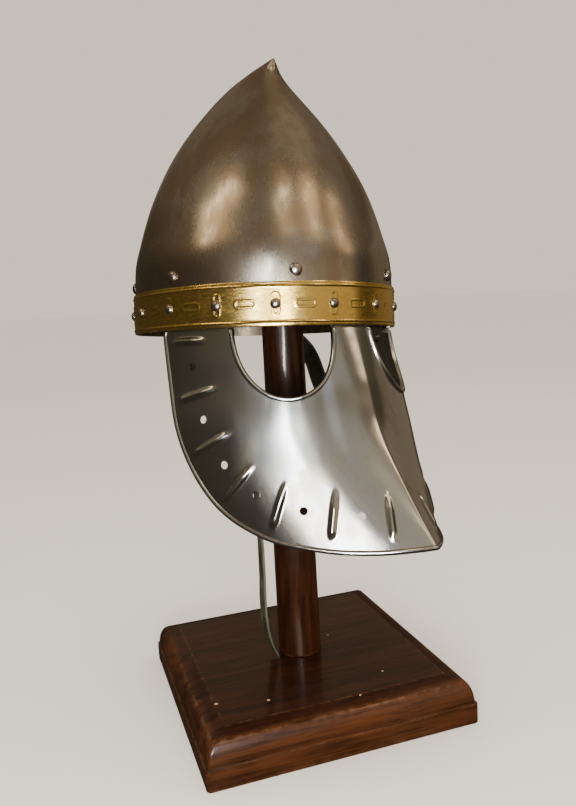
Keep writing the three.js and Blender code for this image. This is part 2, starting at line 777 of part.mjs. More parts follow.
// A place in the buckle, some way along it and on its upper or lower side
function bucklePlace(along, level) {
  const point = buckle.point.clone().addScaledVector(intoBuckle, along).addScaledVector(buckleUp, level);
  return { point, facing: buckleUp.clone() };
}

// The tail's places are told from the base, so they are turned into the helmet's own frame
function tailPlace({ across, along, height, facing }) {
  const buckleHeight = buckle.point.clone().applyMatrix4(helmet.matrix).z;
  const halfTop = BASE_TOP_SIDE / 2;
  const z = BASE_HEIGHT + height * (buckleHeight - BASE_HEIGHT);
  const back = helmet.matrix.clone().invert();
  const point = new THREE.Vector3(across * halfTop, along * halfTop, z).applyMatrix4(back);
  return { point, facing: new THREE.Vector3(...facing).transformDirection(back) };
}

// Left half: riveted inside the skull, under the chin, through the buckle and down to the base
function strapLeftGeometry() {
  const turn = linerRivets[2].turn;
  const places = [
    wallPlace(turn, LINER_RIVET_HEIGHT + STRAP_LAP, strapSeat),
    wallPlace(turn, LINER_RIVET_HEIGHT - STRAP_LAP, strapSeat),
    wallPlace(turn, STRAP_LAP, strapSeat + STRAP_THICKNESS),
    ...STRAP_LEFT_ROUTE.map(strapPlace),
    bucklePlace(-BUCKLE_LENGTH, -halfLap),
    bucklePlace(0, -halfLap),
    bucklePlace(BUCKLE_LENGTH, -halfLap),
    ...STRAP_TAIL_ROUTE.map(tailPlace),
  ];
  return geometryOf(drilled(ribbon(places), rivetDrills));
}

// Right half: from its end in the buckle up behind the cheek and round the wall to its rivet
function strapRightGeometry() {
  const rivetTurn = linerRivets[4].turn - 2 * Math.PI;
  const lapTurn = STRAP_LAP / skullHalfWidth;
  const along = STRAP_WALL_ROUTE.map(({ turn, height, inset }) =>
    wallPlace(radians(turn), height * LINER_RIVET_HEIGHT, (inset + 0.5) * STRAP_THICKNESS),
  );
  const places = [
    bucklePlace(-BUCKLE_LENGTH * 0.75, halfLap),
    bucklePlace(0, halfLap),
    bucklePlace(BUCKLE_LENGTH, halfLap),
    ...STRAP_RIGHT_ROUTE.map(strapPlace),
    ...along,
    wallPlace(rivetTurn, LINER_RIVET_HEIGHT, strapSeat),
    wallPlace(rivetTurn - lapTurn, LINER_RIVET_HEIGHT + CLEARANCE, strapSeat),
  ];
  return geometryOf(drilled(ribbon(places), rivetDrills));
}

// Buckle: a plain frame round both halves of the strap
function buckleGeometry() {
  const width = STRAP_WIDTH + 4 * CLEARANCE;
  const height = 2 * STRAP_THICKNESS + 5 * CLEARANCE;
  const outer = new THREE.BoxGeometry(width + 2 * BUCKLE_WALL, height + 2 * BUCKLE_WALL, BUCKLE_LENGTH);
  const inner = new THREE.BoxGeometry(width, height, 2 * BUCKLE_LENGTH);
  const place = new THREE.Matrix4().makeBasis(buckleSide, buckleUp, intoBuckle.clone());
  if (place.determinant() < 0) place.makeBasis(buckleSide.clone().negate(), buckleUp, intoBuckle);
  place.setPosition(buckle.point);
  outer.applyMatrix4(place);
  inner.applyMatrix4(place);
  return geometryOf(solidOf(outer).subtract(solidOf(inner)));
}

const part = new THREE.Group();
const base = addPiece(part, "base", baseGeometry(), mahogany);
base.rotation.z = radians(BASE_TURN_DEG);
addPiece(part, "post", postGeometry(), mahogany);
part.add(helmet);
addPiece(helmet, "skull", skullGeometry(), steel);
addPiece(helmet, "brass_band", bandGeometry(), brass);
addPiece(helmet, "face_guard", guardGeometry(), steel);
addPiece(helmet, "chin_strap_left", strapLeftGeometry(), leather);
addPiece(helmet, "chin_strap_right", strapRightGeometry(), leather);
addPiece(helmet, "strap_buckle", buckleGeometry(), rivetSteel);

const wallsAtBand = BAND_WALL + SKULL_WALL + GUARD_WALL + 2 * CLEARANCE;
const wallsAtLiner = SKULL_WALL + STRAP_THICKNESS + CLEARANCE;
const bandRivet = rivetGeometry(BAND_RIVET_RADIUS, BAND_RIVET_RISE, wallsAtBand + SHANK_END);
const linerRivet = rivetGeometry(LINER_RIVET_RADIUS, LINER_RIVET_RISE, wallsAtLiner + SHANK_END);
addRivets(helmet, "band_rivet", bandRivets, bandRivet);
addRivets(helmet, "liner_rivet", linerRivets, linerRivet);

export default part;
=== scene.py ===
import math

import bpy
import numpy as np
from mathutils import Matrix, Vector, kdtree, noise
from mathutils.geometry import delaunay_2d_cdt


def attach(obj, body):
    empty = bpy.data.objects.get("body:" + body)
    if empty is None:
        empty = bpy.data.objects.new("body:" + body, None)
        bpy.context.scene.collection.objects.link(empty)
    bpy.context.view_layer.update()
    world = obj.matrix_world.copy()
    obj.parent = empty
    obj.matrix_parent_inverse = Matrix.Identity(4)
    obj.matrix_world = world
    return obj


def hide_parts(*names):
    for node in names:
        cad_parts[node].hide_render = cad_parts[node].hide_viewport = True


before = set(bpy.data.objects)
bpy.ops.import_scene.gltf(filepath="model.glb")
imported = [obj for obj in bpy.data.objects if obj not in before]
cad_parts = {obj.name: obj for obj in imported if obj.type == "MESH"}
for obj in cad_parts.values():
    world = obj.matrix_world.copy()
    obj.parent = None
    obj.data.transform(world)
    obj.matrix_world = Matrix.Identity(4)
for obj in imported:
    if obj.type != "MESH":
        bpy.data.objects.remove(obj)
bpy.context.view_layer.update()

# Wooden base
# A square mahogany board, its edge run past a moulding cutter on all four sides, then stained
# dark and varnished. Years of handling left small pale dings and rubbed its crisp edges. Its pale
# edges are partly that rubbing and partly a painted highlight along the moulding's shoulder, and
# its sides below the top edge are painted paler than its top as painted light.
MM = 0.001
BASE_TOP_SIDE = 190
BASE_OUTSET = 20
BASE_HEIGHT = 38
BASE_CORNER_RADIUS = 3.4
BASE_TURN = math.radians(-20.7)
BASE_TOP_EDGE = 0.93
# Outset and height as shares of the base's, and how pale the edge there is painted: rubbed varnish, and along
# the shoulder a painted highlight
BASE_MOULDING = [
    (0.975, 0, 0.4), (1, 0.02, 0.3), (1, 0.2, 0), (1, 0.425, 0), (0.995, 0.442, 0.5), (0.975, 0.45, 0.8),
    (0.935, 0.452, 0.1), (0.92, 0.462, 0), (0.917, 0.5, 0), (0.9, 0.58, 0), (0.877, 0.65, 0),
    (0.84, 0.72, 0), (0.79, 0.785, 0.1), (0.73, 0.84, 0.2), (0.665, 0.883, 0.6), (0.6, 0.91, 0.9),
    (0.56, 0.918, 0.3), (0.3, 0.955, 0), (0.05, 0.991, 0.1), (0.012, 0.998, 0.9), (-0.02, 1, 0.7),
    (-0.06, 1, 0), (-0.4, 1, 0),
]
# Pale dings: how far along, across and up the board they lie, and their radius
BASE_DINGS = [
    (-53.2, -73.7, 38, 2.4), (-93.5, -62, 37.5, 2.6), (32.2, 12.7, 38, 1.2),
    (49.7, -69.8, 38, 1.6), (17.1, -96.5, 37.8, 1.4),
]


def make_piece(name, points, faces, finish, crease_deg=32):
    """A mesh object from points in millimetres, shaded smooth except at its creases."""
    mesh = bpy.data.meshes.new(name)
    mesh.from_pydata((np.asarray(points, float) * MM).tolist(), [], [list(map(int, face)) for face in faces])
    mesh.materials.append(finish)
    mesh.shade_smooth()
    mesh.set_sharp_from_angle(angle=math.radians(crease_deg))
    piece = bpy.data.objects.new(name, mesh)
    bpy.context.scene.collection.objects.link(piece)
    return piece


def hand_over(piece, slot, *nodes):
    """Lets a finished piece stand for its solids, which it hides. The slot is not used."""
    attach(piece, "root")
    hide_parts(*nodes)


def store(piece, name, values):
    """Keeps one number for each point of a piece, for its finish to read."""
    attribute = piece.data.attributes.new(name, "FLOAT", "POINT")
    attribute.data.foreach_set("value", np.asarray(values, np.float32))


def ring_faces(rows, columns, first=0, wraps=False):
    """Quads between rows of points that each go round anticlockwise, seen from the last row."""
    i, j = np.meshgrid(np.arange(rows if wraps else rows - 1), np.arange(columns), indexing="ij")
    after = (j + 1) % columns
    lower, upper = first + i * columns, first + ((i + 1) % rows) * columns
    return np.stack([lower + j, lower + after, upper + after, upper + j], -1).reshape(-1, 4).tolist()


def fan_faces(centre, ring, faces_up):
    """Triangles from a middle point to a ring that goes round anticlockwise, seen from above."""
    pairs = zip(ring, ring[1:] + ring[:1])
    return [(centre, a, b) if faces_up else (centre, b, a) for a, b in pairs]


def closed_rings(rows, columns):
    """Faces of rings of points that are closed by two middle points, which come after them."""
    count, last = rows * columns, (rows - 1) * columns
    faces = ring_faces(rows, columns)
    faces += fan_faces(count, list(range(columns)), faces_up=False)
    return faces + fan_faces(count + 1, list(range(last, count)), faces_up=True)


class Signal:
    """A socket in a finish. Arithmetic on it adds the Math nodes."""

    def __init__(self, finish, socket):
        self.finish = finish
        self.socket = socket

    def math(self, operation, first, second=0, clamp=False):
        settings = {"operation": operation, "use_clamp": clamp}
        return self.finish.node("ShaderNodeMath", settings, {0: first, 1: second})

    def __add__(self, other):
        return self.math("ADD", self, other)

    def __radd__(self, other):
        return self.math("ADD", other, self)

    def __sub__(self, other):
        return self.math("SUBTRACT", self, other)

    def __rsub__(self, other):
        return self.math("SUBTRACT", other, self)

    def __mul__(self, other):
        return self.math("MULTIPLY", self, other)

    def __rmul__(self, other):
        return self.math("MULTIPLY", other, self)

    def clamped(self):
        return self.math("ADD", self, 0, clamp=True)


class Finish:
    """A material and the nodes it is wired from."""

    def __init__(self, name):
        self.material = bpy.data.materials.new(name)
        self.material.use_nodes = True
        self.tree = self.material.node_tree
        self.tree.nodes.clear()

    def node(self, kind, settings=None, inputs=None, output=0):
        made = self.tree.nodes.new(kind)
        for key, value in (settings or {}).items():
            setattr(made, key, value)
        for key, value in (inputs or {}).items():
            if isinstance(value, Signal):
                self.tree.links.new(value.socket, made.inputs[key])
            else:
                made.inputs[key].default_value = value
        return Signal(self, made.outputs[output]) if made.outputs else None

    def place(self, scale=(1, 1, 1), turn=(0, 0, 0)):
        """The point on the object in metres, turned and then scaled."""
        point = self.node("ShaderNodeTexCoord", output="Object")
        settings = {"rotation_type": "EULER_XYZ"}
        turned = self.node("ShaderNodeVectorRotate", settings, {"Vector": point, "Rotation": turn})
        return self.node("ShaderNodeVectorMath", {"operation": "MULTIPLY"}, {0: turned, 1: scale})

    def cloud(self, where, scale, detail=3, roughness=0.5, distortion=0):
        inputs = {"Vector": where, "Scale": scale, "Detail": detail, "Roughness": roughness}
        inputs["Distortion"] = distortion
        return self.node("ShaderNodeTexNoise", {"noise_dimensions": "3D"}, inputs)

    def share(self, signal, low, high, to_low=0, to_high=1):
        """Eases a signal's stretch from low to high into another stretch."""
        inputs = {"Value": signal, "From Min": low, "From Max": high, "To Min": to_low, "To Max": to_high}
        return self.node("ShaderNodeMapRange", {"interpolation_type": "SMOOTHSTEP"}, inputs)

    def mix(self, factor, first, second):
        paints = [value if isinstance(value, Signal) else (*value, 1) for value in (first, second)]
        inputs = {0: factor, 6: paints[0], 7: paints[1]}
        return self.node("ShaderNodeMix", {"data_type": "RGBA"}, inputs, output=2)

    def kept(self, name):
        """A number stored on the piece's own points."""
        return self.node("ShaderNodeAttribute", {"attribute_name": name}, output="Fac")

    def spot(self, where, radius):
        """One at a place given in metres, easing to nothing at its radius."""
        point = self.node("ShaderNodeTexCoord", output="Object")
        settings = {"operation": "DISTANCE"}
        distance = self.node("ShaderNodeVectorMath", settings, {0: point, 1: where}, output="Value")
        return self.share(distance, radius * 0.3, radius, 1, 0)

    def surface(self, relief=None, height=0.0002, **sockets):
        inputs = {key.replace("_", " "): value for key, value in sockets.items()}
        if relief is not None:
            inputs["Normal"] = self.node("ShaderNodeBump", None, {"Height": relief, "Distance": height})
        shader = self.node("ShaderNodeBsdfPrincipled", None, inputs)
        self.node("ShaderNodeOutputMaterial", None, {"Surface": shader})
        return self.material


def varnished_mahogany(name, grain, turn, dings=()):
    """Dark red-brown wood under gloss varnish, its grain drawn out along one direction."""
    finish = Finish(name)
    drawn = finish.place(grain, turn)
    figure = finish.cloud(drawn, 26, 4, 0.6, 0.3)
    fleck = finish.cloud(drawn, 230, 3, 0.65)
    pores = finish.share(finish.cloud(drawn, 620, 2, 0.5), 0.56, 0.68)
    tone = finish.share(figure * 0.5 + fleck * 0.5, 0.36, 0.64)
    colour = finish.mix(tone, (0.009, 0.0022, 0.0009), (0.03, 0.0075, 0.0026))
    browner = finish.mix(tone, (0.012, 0.0036, 0.0012), (0.075, 0.024, 0.006))
    # On the board the stored paler number marks painted light: its sides below the top edge are painted paler
    # than its top, where light falls on them. On the post it is one even share, the post's own lighter tone.
    colour = finish.mix(finish.kept("paler") * 0.65, colour, browner)
    colour = finish.mix(pores * 0.5, colour, (0.004, 0.0013, 0.0008))
    patchy = finish.share(finish.cloud(finish.place(), 160, 3, 0.6), 0.4, 0.66)
    # Paler in patches along the stored edge marks: rubbed varnish, and on the board's moulding shoulder a
    # painted highlight.
    colour = finish.mix((finish.kept("pale_edge") * patchy * 0.2).clamped(), colour, (0.27, 0.14, 0.07))
    relief = figure * 0.3 - pores * 0.35
    ragged = finish.cloud(finish.place(), 900, 2, 0.6)
    for where, radius in dings:
        chip = finish.share(finish.spot(where, radius) * 0.75 + ragged * 0.5, 0.6, 0.85)
        colour = finish.mix(chip, colour, (0.44, 0.25, 0.15))
        relief = relief - chip
    smudge = finish.cloud(finish.place(), 14, 4, 0.6)
    return finish.surface(
        relief=relief + finish.cloud(finish.place(), 420, 2, 0.5) * 0.5,
        height=0.00012,
        Base_Color=colour,
        Roughness=finish.share(smudge, 0.3, 0.7, 0.3, 0.45),
        Specular_IOR_Level=0.2,
        Coat_Weight=0.42,
        Coat_Roughness=0.12,
    )


def turned_on_base(along, across, up):
    """A place told along the board's own sides, in the object's frame."""
    c, s = math.cos(BASE_TURN), math.sin(BASE_TURN)
    return (along * c - across * s, along * s + across * c, up)


def base_board():
    """The board's points in rings from its underside to its top, and how pale each is painted, for rubbed
    varnish and a painted highlight on the shoulder.
    """
    corner_steps = 7
    points, pale_edge = [], []
    for outset, height, paling in BASE_MOULDING:
        centre = BASE_TOP_SIDE / 2 + outset * BASE_OUTSET - BASE_CORNER_RADIUS
        for quarter in range(4):
            for i in range(corner_steps + 1):
                angle = math.pi / 2 * (quarter + i / corner_steps)
                along = (centre if quarter in (0, 3) else -centre) + BASE_CORNER_RADIUS * math.cos(angle)
                across = (centre if quarter < 2 else -centre) + BASE_CORNER_RADIUS * math.sin(angle)
                points.append(turned_on_base(along, across, height * BASE_HEIGHT))
                pale_edge.append(paling)
    points += [(0, 0, 0), (0, 0, BASE_HEIGHT)]
    return points, closed_rings(len(BASE_MOULDING), 4 * (corner_steps + 1)), pale_edge + [0, 0]


ding_places = [(Vector(turned_on_base(x, y, z)) * MM, radius * MM) for x, y, z, radius in BASE_DINGS]
board_finish = varnished_mahogany("varnished board", (0.06, 1, 1), (0, 0, -BASE_TURN), ding_places)
board_points, board_faces, board_pale_edge = base_board()
board = make_piece("mahogany_base", board_points, board_faces, board_finish, crease_deg=24)
store(board, "pale_edge", board_pale_edge)
# Painted light: the board's sides below its top edge are marked to be painted paler than its top.
store(board, "paler", [float(height < BASE_HEIGHT * BASE_TOP_EDGE) for _, _, height in board_points])
hand_over(board, "mahogany", "base")

# Wooden post
# A round mahogany post turned on a lathe, tapering slightly upward and glued into the base.
# Its head is worked to the hollow of the helmet, which hangs on it a little askew.
POST_RADIUS = 19.2
POST_TOP_RADIUS = 16.8
POST_SEAM = 0.25
# Height above the post's foot, how far its edge is rounded off there, and how pale its rubbed edge is painted
# there
POST_FOOT = [(0, 0.5, 1), (0.3, 0.12, 1), (0.8, 0, 0.8), (1.4, 0, 0)]
HELMET_OFFSET = (-11, 12, 328.5)
HELMET_PITCH = math.radians(-2.7)
HELMET_ROLL = math.radians(4)
BAND_WALL = 1.2
CLEARANCE = 0.3
SKULL_HALF_WIDTH = 107.4 - BAND_WALL - CLEARANCE
SKULL_HALF_DEPTH = 116.3 - BAND_WALL - CLEARANCE
SKULL_HEIGHT = 223
SKULL_WALL = 1.6
TIP_LEAN = 25.8
# Height, girth and lean as shares of the skull's height, half width and tip's lean
SKULL_SECTIONS = [
    (0, 1, 0), (0.15, 1, 0), (0.25, 0.988, 0), (0.35, 0.935, 0), (0.45, 0.872, 0), (0.55, 0.786, 0),
    (0.65, 0.672, 0), (0.75, 0.531, 0.045), (0.83, 0.391, 0.11), (0.88, 0.293, 0.175),
    (0.92, 0.206, 0.29), (0.955, 0.12, 0.52), (0.98, 0.054, 0.78), (1, 0, 1),
]


def table_curve(rows, key, value):
    """The smooth curve through one column of a table against another."""
    keys = np.array([row[key] for row in rows], float)
    values = np.array([row[value] for row in rows], float)
    last = len(keys) - 1

    def at(where):
        where = np.clip(where, keys[0], keys[-1])
        i1 = np.clip(np.searchsorted(keys, where, side="right"), 1, last)
        i0 = i1 - 1
        before = np.where(i0 == 0, i1, i0 - 1)
        after = np.where(i1 == last, i0, np.minimum(i1 + 1, last))
        half = (keys[i1] - keys[i0]) / 2
        pull = half / (keys[i0] - keys[before])
        push = half / (keys[after] - keys[i1])
        p = (where - keys[i0]) / (keys[i1] - keys[i0])
        return (
            (-pull * p**3 + 2 * pull * p**2 - pull * p) * values[before]
            + ((1 + pull) * p**3 + (-1.5 - 2 * pull) * p**2 + (-0.5 + pull) * p + 1) * values[i0]
            + ((-1 - push) * p**3 + (1.5 + push) * p**2 + 0.5 * p) * values[i1]
            + (push * p**3 - push * p**2) * values[after]
        )

    return at


girth_at = table_curve(SKULL_SECTIONS, 0, 1)
lean_at = table_curve(SKULL_SECTIONS, 0, 2)
helmet_turn = np.array(Matrix.Rotation(HELMET_PITCH, 3, "X") @ Matrix.Rotation(HELMET_ROLL, 3, "Y"))


def settled(points):
    """Takes points from the helmet's own level frame to where it hangs on the post."""
    return np.asarray(points) @ helmet_turn.T + HELMET_OFFSET


def skull_surface(rise, turn):
    """The skull's outer surface. Turn is from the front, positive to the wearer's left."""
    rise, turn = np.broadcast_arrays(np.asarray(rise, float), np.asarray(turn, float))
    girth = girth_at(rise)
    depth = 1 + (SKULL_HALF_DEPTH / SKULL_HALF_WIDTH - 1) * (1 - rise**2)
    x = SKULL_HALF_WIDTH * girth * np.sin(turn)
    y = -SKULL_HALF_WIDTH * depth * girth * np.cos(turn) - lean_at(rise) * TIP_LEAN
    return np.stack([x, y, rise * SKULL_HEIGHT], -1)


def unit(vectors):
    return vectors / np.maximum(np.linalg.norm(vectors, axis=-1, keepdims=True), 1e-9)


def skull_normal(rise, turn):
    step = 1e-3
    up = skull_surface(rise + step, turn) - skull_surface(rise - step, turn)
    across = skull_surface(rise, turn + step) - skull_surface(rise, turn - step)
    return unit(np.cross(across, up))


def head_room(x, y):
    """How high the post can stand at a place before it meets the skull's inner wall."""
    low, high = np.full(x.shape, HELMET_OFFSET[2]), np.full(x.shape, HELMET_OFFSET[2] + SKULL_HEIGHT + 5.0)
    for _ in range(24):
        middle = (low + high) / 2
        own = (np.stack([x, y, middle], -1) - HELMET_OFFSET) @ helmet_turn
        rise = np.clip(own[..., 2] / SKULL_HEIGHT, 0, 1)
        reach = np.hypot(own[..., 0], own[..., 1] + lean_at(rise) * TIP_LEAN)
        inside = reach < SKULL_HALF_WIDTH * girth_at(rise) - 1.4 * (SKULL_WALL + CLEARANCE)
        low, high = np.where(inside, middle, low), np.where(inside, high, middle)
    return low


def post_points():
    sides = 96
    angle = 2 * np.pi * np.arange(sides) / sides
    foot = BASE_HEIGHT + POST_SEAM
    rows, pale_edge = [], []
    circle = np.stack([np.cos(angle), np.sin(angle), 0 * angle], -1)
    for height, shrink, paling in POST_FOOT:
        rows.append(circle * (POST_RADIUS - shrink) + (0, 0, foot + height))
        pale_edge += [paling] * sides
    for share in np.linspace(0.01, 1, 60):
        radius = POST_RADIUS + (POST_TOP_RADIUS - POST_RADIUS) * share
        x, y = radius * circle[:, 0], radius * circle[:, 1]
        rows.append(np.stack([x, y, foot + (head_room(x, y) - foot) * share], -1))
        pale_edge += [0] * sides
    for inward in (0.85, 0.6, 0.3, 0.1):
        x, y = POST_TOP_RADIUS * inward * circle[:, 0], POST_TOP_RADIUS * inward * circle[:, 1]
        rows.append(np.stack([x, y, head_room(x, y)], -1))
        pale_edge += [0] * sides
    crown = head_room(np.zeros(1), np.zeros(1))[0] - 0.5
    points = np.concatenate([np.concatenate(rows), [[0, 0, foot], [0, 0, crown]]])
    return points, closed_rings(len(rows), sides), pale_edge + [0, 0]


post_finish = varnished_mahogany("varnished post", (1, 1, 0.08), (0, 0, 0))
points, faces, pale_edge = post_points()
post = make_piece("mahogany_post", points, faces, post_finish)
store(post, "pale_edge", pale_edge)
store(post, "paler", np.full(len(points), 0.3))
hand_over(post, "mahogany", "post")

# Skull
# The bowl is one sheet of steel raised over a stake to a leaning point, then planished and
# polished. The hammer left faint waves, the polish upright streaks, and handling a brown tarnish.
POLISHED_OFF = 0.12
HOLLOW_TOP = 0.965


def polished_steel(name, bright, tarnish, tarnish_share, gloss, streaks):
    """Steel with upright polishing streaks and soft patches of tarnish."""
    finish = Finish(name)
    cloudy = finish.cloud(finish.place(), 16, 4, 0.55, 0.4)
    drawn = finish.cloud(finish.place((1, 1, 0.14)), 120, 3, 0.6)
    fine = finish.cloud(finish.place((1, 1, 0.05)), 900, 2, 0.7)
    patch = finish.share(cloudy * 0.7 + drawn * 0.3, 0.62 - tarnish_share * 0.3, 0.7 - tarnish_share * 0.14)
    colour = finish.mix(patch, bright, tarnish)
    roughness = gloss + patch * 0.05 + (drawn - 0.5) * streaks + (fine - 0.5) * streaks * 0.6
    return finish.surface(
        relief=drawn * 0.3 + fine * 0.04 + cloudy * 0.8,
        height=0.00004,
        Base_Color=colour,
        Metallic=1.0,
        Roughness=roughness.clamped(),
    )


def hammered(points, size, depth):
    """The low waves that planishing leaves, as heights in millimetres."""
    return np.array([noise.noise(Vector(point / size)) for point in points]) * depth


def skull_points():
    columns, rows = 168, 96
    share = np.linspace(0, 1, rows)
    rise = 0.9975 * (1 - (1 - share) ** 1.7)
    turn = 2 * np.pi * np.arange(columns) / columns
    rise, turn = np.meshgrid(rise, turn, indexing="ij")
    normal = skull_normal(np.maximum(rise, 0.01), turn).reshape(-1, 3)
    outer = skull_surface(rise, turn).reshape(-1, 3)
    wave = hammered(outer, 34, 0.35) + hammered(outer + 300, 15, 0.12)
    calm = np.clip((rise.ravel() - 0.16) / 0.1, 0, 1) * np.clip((1 - rise.ravel()) / 0.1, 0, 1)
    outer = outer + normal * (wave * calm - POLISHED_OFF)[:, None]
    inner = outer - normal * (SKULL_WALL - POLISHED_OFF)
    inner = inner[rise.ravel() < HOLLOW_TOP]
    inner_rows = len(inner) // columns
    tip = skull_surface(1, 0) - (0, 0, 0.3)
    inner_tip = inner[-columns:].mean(0) + (0, 0, 3)
    points = np.concatenate([outer, inner, [tip], [inner_tip]])
    first = rows * columns
    faces = ring_faces(rows, columns)
    faces += [face[::-1] for face in ring_faces(inner_rows, columns, first=first)]
    rim = np.arange(columns)
    after = (rim + 1) % columns
    faces += np.stack([rim, first + rim, first + after, after], -1).tolist()
    top, under = (rows - 1) * columns, first + (inner_rows - 1) * columns
    faces += fan_faces(len(points) - 2, list(range(top, top + columns)), faces_up=True)
    faces += fan_faces(len(points) - 1, list(range(under, under + columns)), faces_up=False)
    return settled(points), faces


skull_finish = polished_steel("skull steel", (0.5, 0.46, 0.41), (0.36, 0.29, 0.21), 0.8, 0.24, 0.08)
points, faces = skull_points()
skull = make_piece("steel_skull", points, faces, skull_finish, crease_deg=50)
hand_over(skull, "skull_steel", "skull")

# Brass band
# A strip of thin brass bent round the rim. Before it was bent, a raised line was pressed along
# each edge, an upright oval round each rivet and a lying slot between each pair of rivets.
BAND_HALF_WIDTH = 107.4
BAND_HALF_DEPTH = 116.3
BAND_HEIGHT = 31.8
BAND_RIVETS = 16
LINE_INSET = 3
LINE_WIDTH = 1.9
LINE_RISE = 0.6
PATTERN_WIDTH = 1.6
EDGE_ROUNDING = 0.9
# Half width and half height of the pressed shapes
OVAL = (2.5, 7.9)
SLOT = (7.6, 2.4)


def even_turns(half_width, half_depth, count, first):
    """Turns that share an ellipse's length evenly, starting a share of one step from the front."""
    fine = np.linspace(0, 2 * np.pi, 7201)
    speed = np.hypot(half_width * np.cos(fine), half_depth * np.sin(fine))
    length = np.concatenate([[0], np.cumsum((speed[1:] + speed[:-1]) / 2 * (fine[1] - fine[0]))])
    return np.interp((np.arange(count) + first) * length[-1] / count, length, fine), length[-1]


def plan_place(half_width, half_depth, turn, height=0):
    return np.stack([half_width * np.sin(turn), -half_depth * np.cos(turn), 0 * turn + height], -1)


def plan_normal(half_width, half_depth, turn):
    return unit(plan_place(1 / half_width, 1 / half_depth, turn))


def ridge(distance, width):
    """A rounded ridge: one along its middle, nothing beyond half its width."""
    return np.cos(np.clip(distance / width, -0.5, 0.5) * np.pi) ** 2


def band_relief(along, height, pitch):
    """How far the pressed pattern stands out, for places along and up the strip."""
    from_middle = height - BAND_HEIGHT / 2
    from_rivet = (along / pitch) % 1 * pitch - pitch / 2
    from_slot = (along / pitch + 0.5) % 1 * pitch - pitch / 2
    above_end = np.maximum(np.abs(from_middle) - (OVAL[1] - OVAL[0]), 0)
    oval = ridge(np.hypot(from_rivet, above_end) - OVAL[0], PATTERN_WIDTH)
    past_end = np.maximum(np.abs(from_slot) - (SLOT[0] - SLOT[1]), 0)
    slot = ridge(np.hypot(past_end, from_middle) - SLOT[1], PATTERN_WIDTH)
    lines = ridge(height - LINE_INSET, LINE_WIDTH) + ridge(BAND_HEIGHT - LINE_INSET - height, LINE_WIDTH)
    return np.maximum(np.maximum(oval * 0.85, slot * 0.8), lines)


def band_points():
    columns, rows = 960, 44
    turn, length = even_turns(BAND_HALF_WIDTH, BAND_HALF_DEPTH, columns, 0)
    height = np.linspace(0, BAND_HEIGHT, rows)
    along = np.arange(columns) * length / columns
    grid_height, grid_along = np.meshgrid(height, along, indexing="ij")
    relief = band_relief(grid_along, grid_height, length / BAND_RIVETS)
    ease = np.clip(np.minimum(grid_height, BAND_HEIGHT - grid_height) / EDGE_ROUNDING, 0, 1)
    out = relief * LINE_RISE - 0.35 * (1 - ease) ** 2
    normal = plan_normal(BAND_HALF_WIDTH, BAND_HALF_DEPTH, turn)
    middle = plan_place(BAND_HALF_WIDTH, BAND_HALF_DEPTH, turn)
    outer = middle + normal * out[..., None] + (0, 0, 1) * grid_height[..., None]
    wave = hammered(outer.reshape(-1, 3), 22, 0.12).reshape(rows, columns)
    outer = outer + normal * (wave * ease)[..., None]
    inner = middle - normal * BAND_WALL + (0, 0, 1) * height[[-1, 0]][:, None, None]
    points = np.concatenate([outer.reshape(-1, 3), inner.reshape(-1, 3)])
    worn = np.concatenate([relief.ravel(), np.zeros(2 * columns)])
    return settled(points), ring_faces(rows + 2, columns, wraps=True), worn


def pressed_brass(name):
    """Polished brass: bright where a cloth rubs it, toned brown where it lies low."""
    finish = Finish(name)
    cloudy = finish.cloud(finish.place(), 28, 4, 0.6, 0.3)
    streak = finish.cloud(finish.place((1, 1, 4)), 160, 3, 0.6)
    low = 1 - finish.kept("raised")
    toned = finish.share(cloudy * 0.6 + streak * 0.4, 0.36, 0.68) * low
    colour = finish.mix(toned.clamped(), (0.96, 0.70, 0.21), (0.70, 0.45, 0.10))
    return finish.surface(
        relief=cloudy + streak * 0.2,
        height=0.00005,
        Base_Color=colour,
        Metallic=1.0,
        Roughness=(0.2 + toned * 0.12 + (streak - 0.5) * 0.12).clamped(),
    )


points, faces, raised = band_points()
band = make_piece("pressed_brass_band", points, faces, pressed_brass("pressed brass"), crease_deg=60)
store(band, "raised", raised)
hand_over(band, "brass", "brass_band")

# Face guard
# One sheet of steel dished to a keel, its edge rolled over a wire. The eye openings have a rolled
# lip, flutes are pressed in from the back square to the edge, and air holes lie between them.
GUARD_HALF_WIDTH = SKULL_HALF_WIDTH - SKULL_WALL - CLEARANCE
GUARD_HALF_DEPTH = SKULL_HALF_DEPTH - SKULL_WALL - CLEARANCE
GUARD_WALL = 1.5
GUARD_DROP = 155
GUARD_TUCK = 25
PROW_REACH = 188
KEEL_SPREAD = math.radians(83)
KEEL_SHARPNESS = 1.53
KEEL_ROUNDING = math.radians(0.45)
REAR_TURN = math.radians(84)
EYE_OUTER = math.radians(51.4)
EYE_INNER = {-1: math.radians(12.6), 1: math.radians(8.6)}
EYE_DROP = 51
LIP_WIDTH = 3.6
LIP_RISE = 2
EDGE_WIRE_RADIUS = 1.95
FLUTES_PER_SIDE = 7
FLUTE_INSET = 7.3
FLUTE_LENGTH = 35
FLUTE_WIDTH = 7
FLUTE_RISE = 2
FLUTE_BELOW_BAND = 8.5
PROW_MARGIN = 29.5
REAR_MARGIN = 7.2
HOLE_RADIUS = 3
HOLE_INSET = 25.2
# Least spacing of the sheet's points by its details and over its open ground
CLOSE_SPACING = 0.42
OPEN_SPACING = 1.5
# Drop, spread and reach as shares of the guard's drop, its half width and the keel's way out
GUARD_SECTIONS = [
    (0, 1, 0), (0.25, 1.046, 0.148), (0.5, 1.1, 0.314), (0.75, 1.107, 0.622), (1, 1.076, 1),
    (1.08, 1.064, 1.137),
]
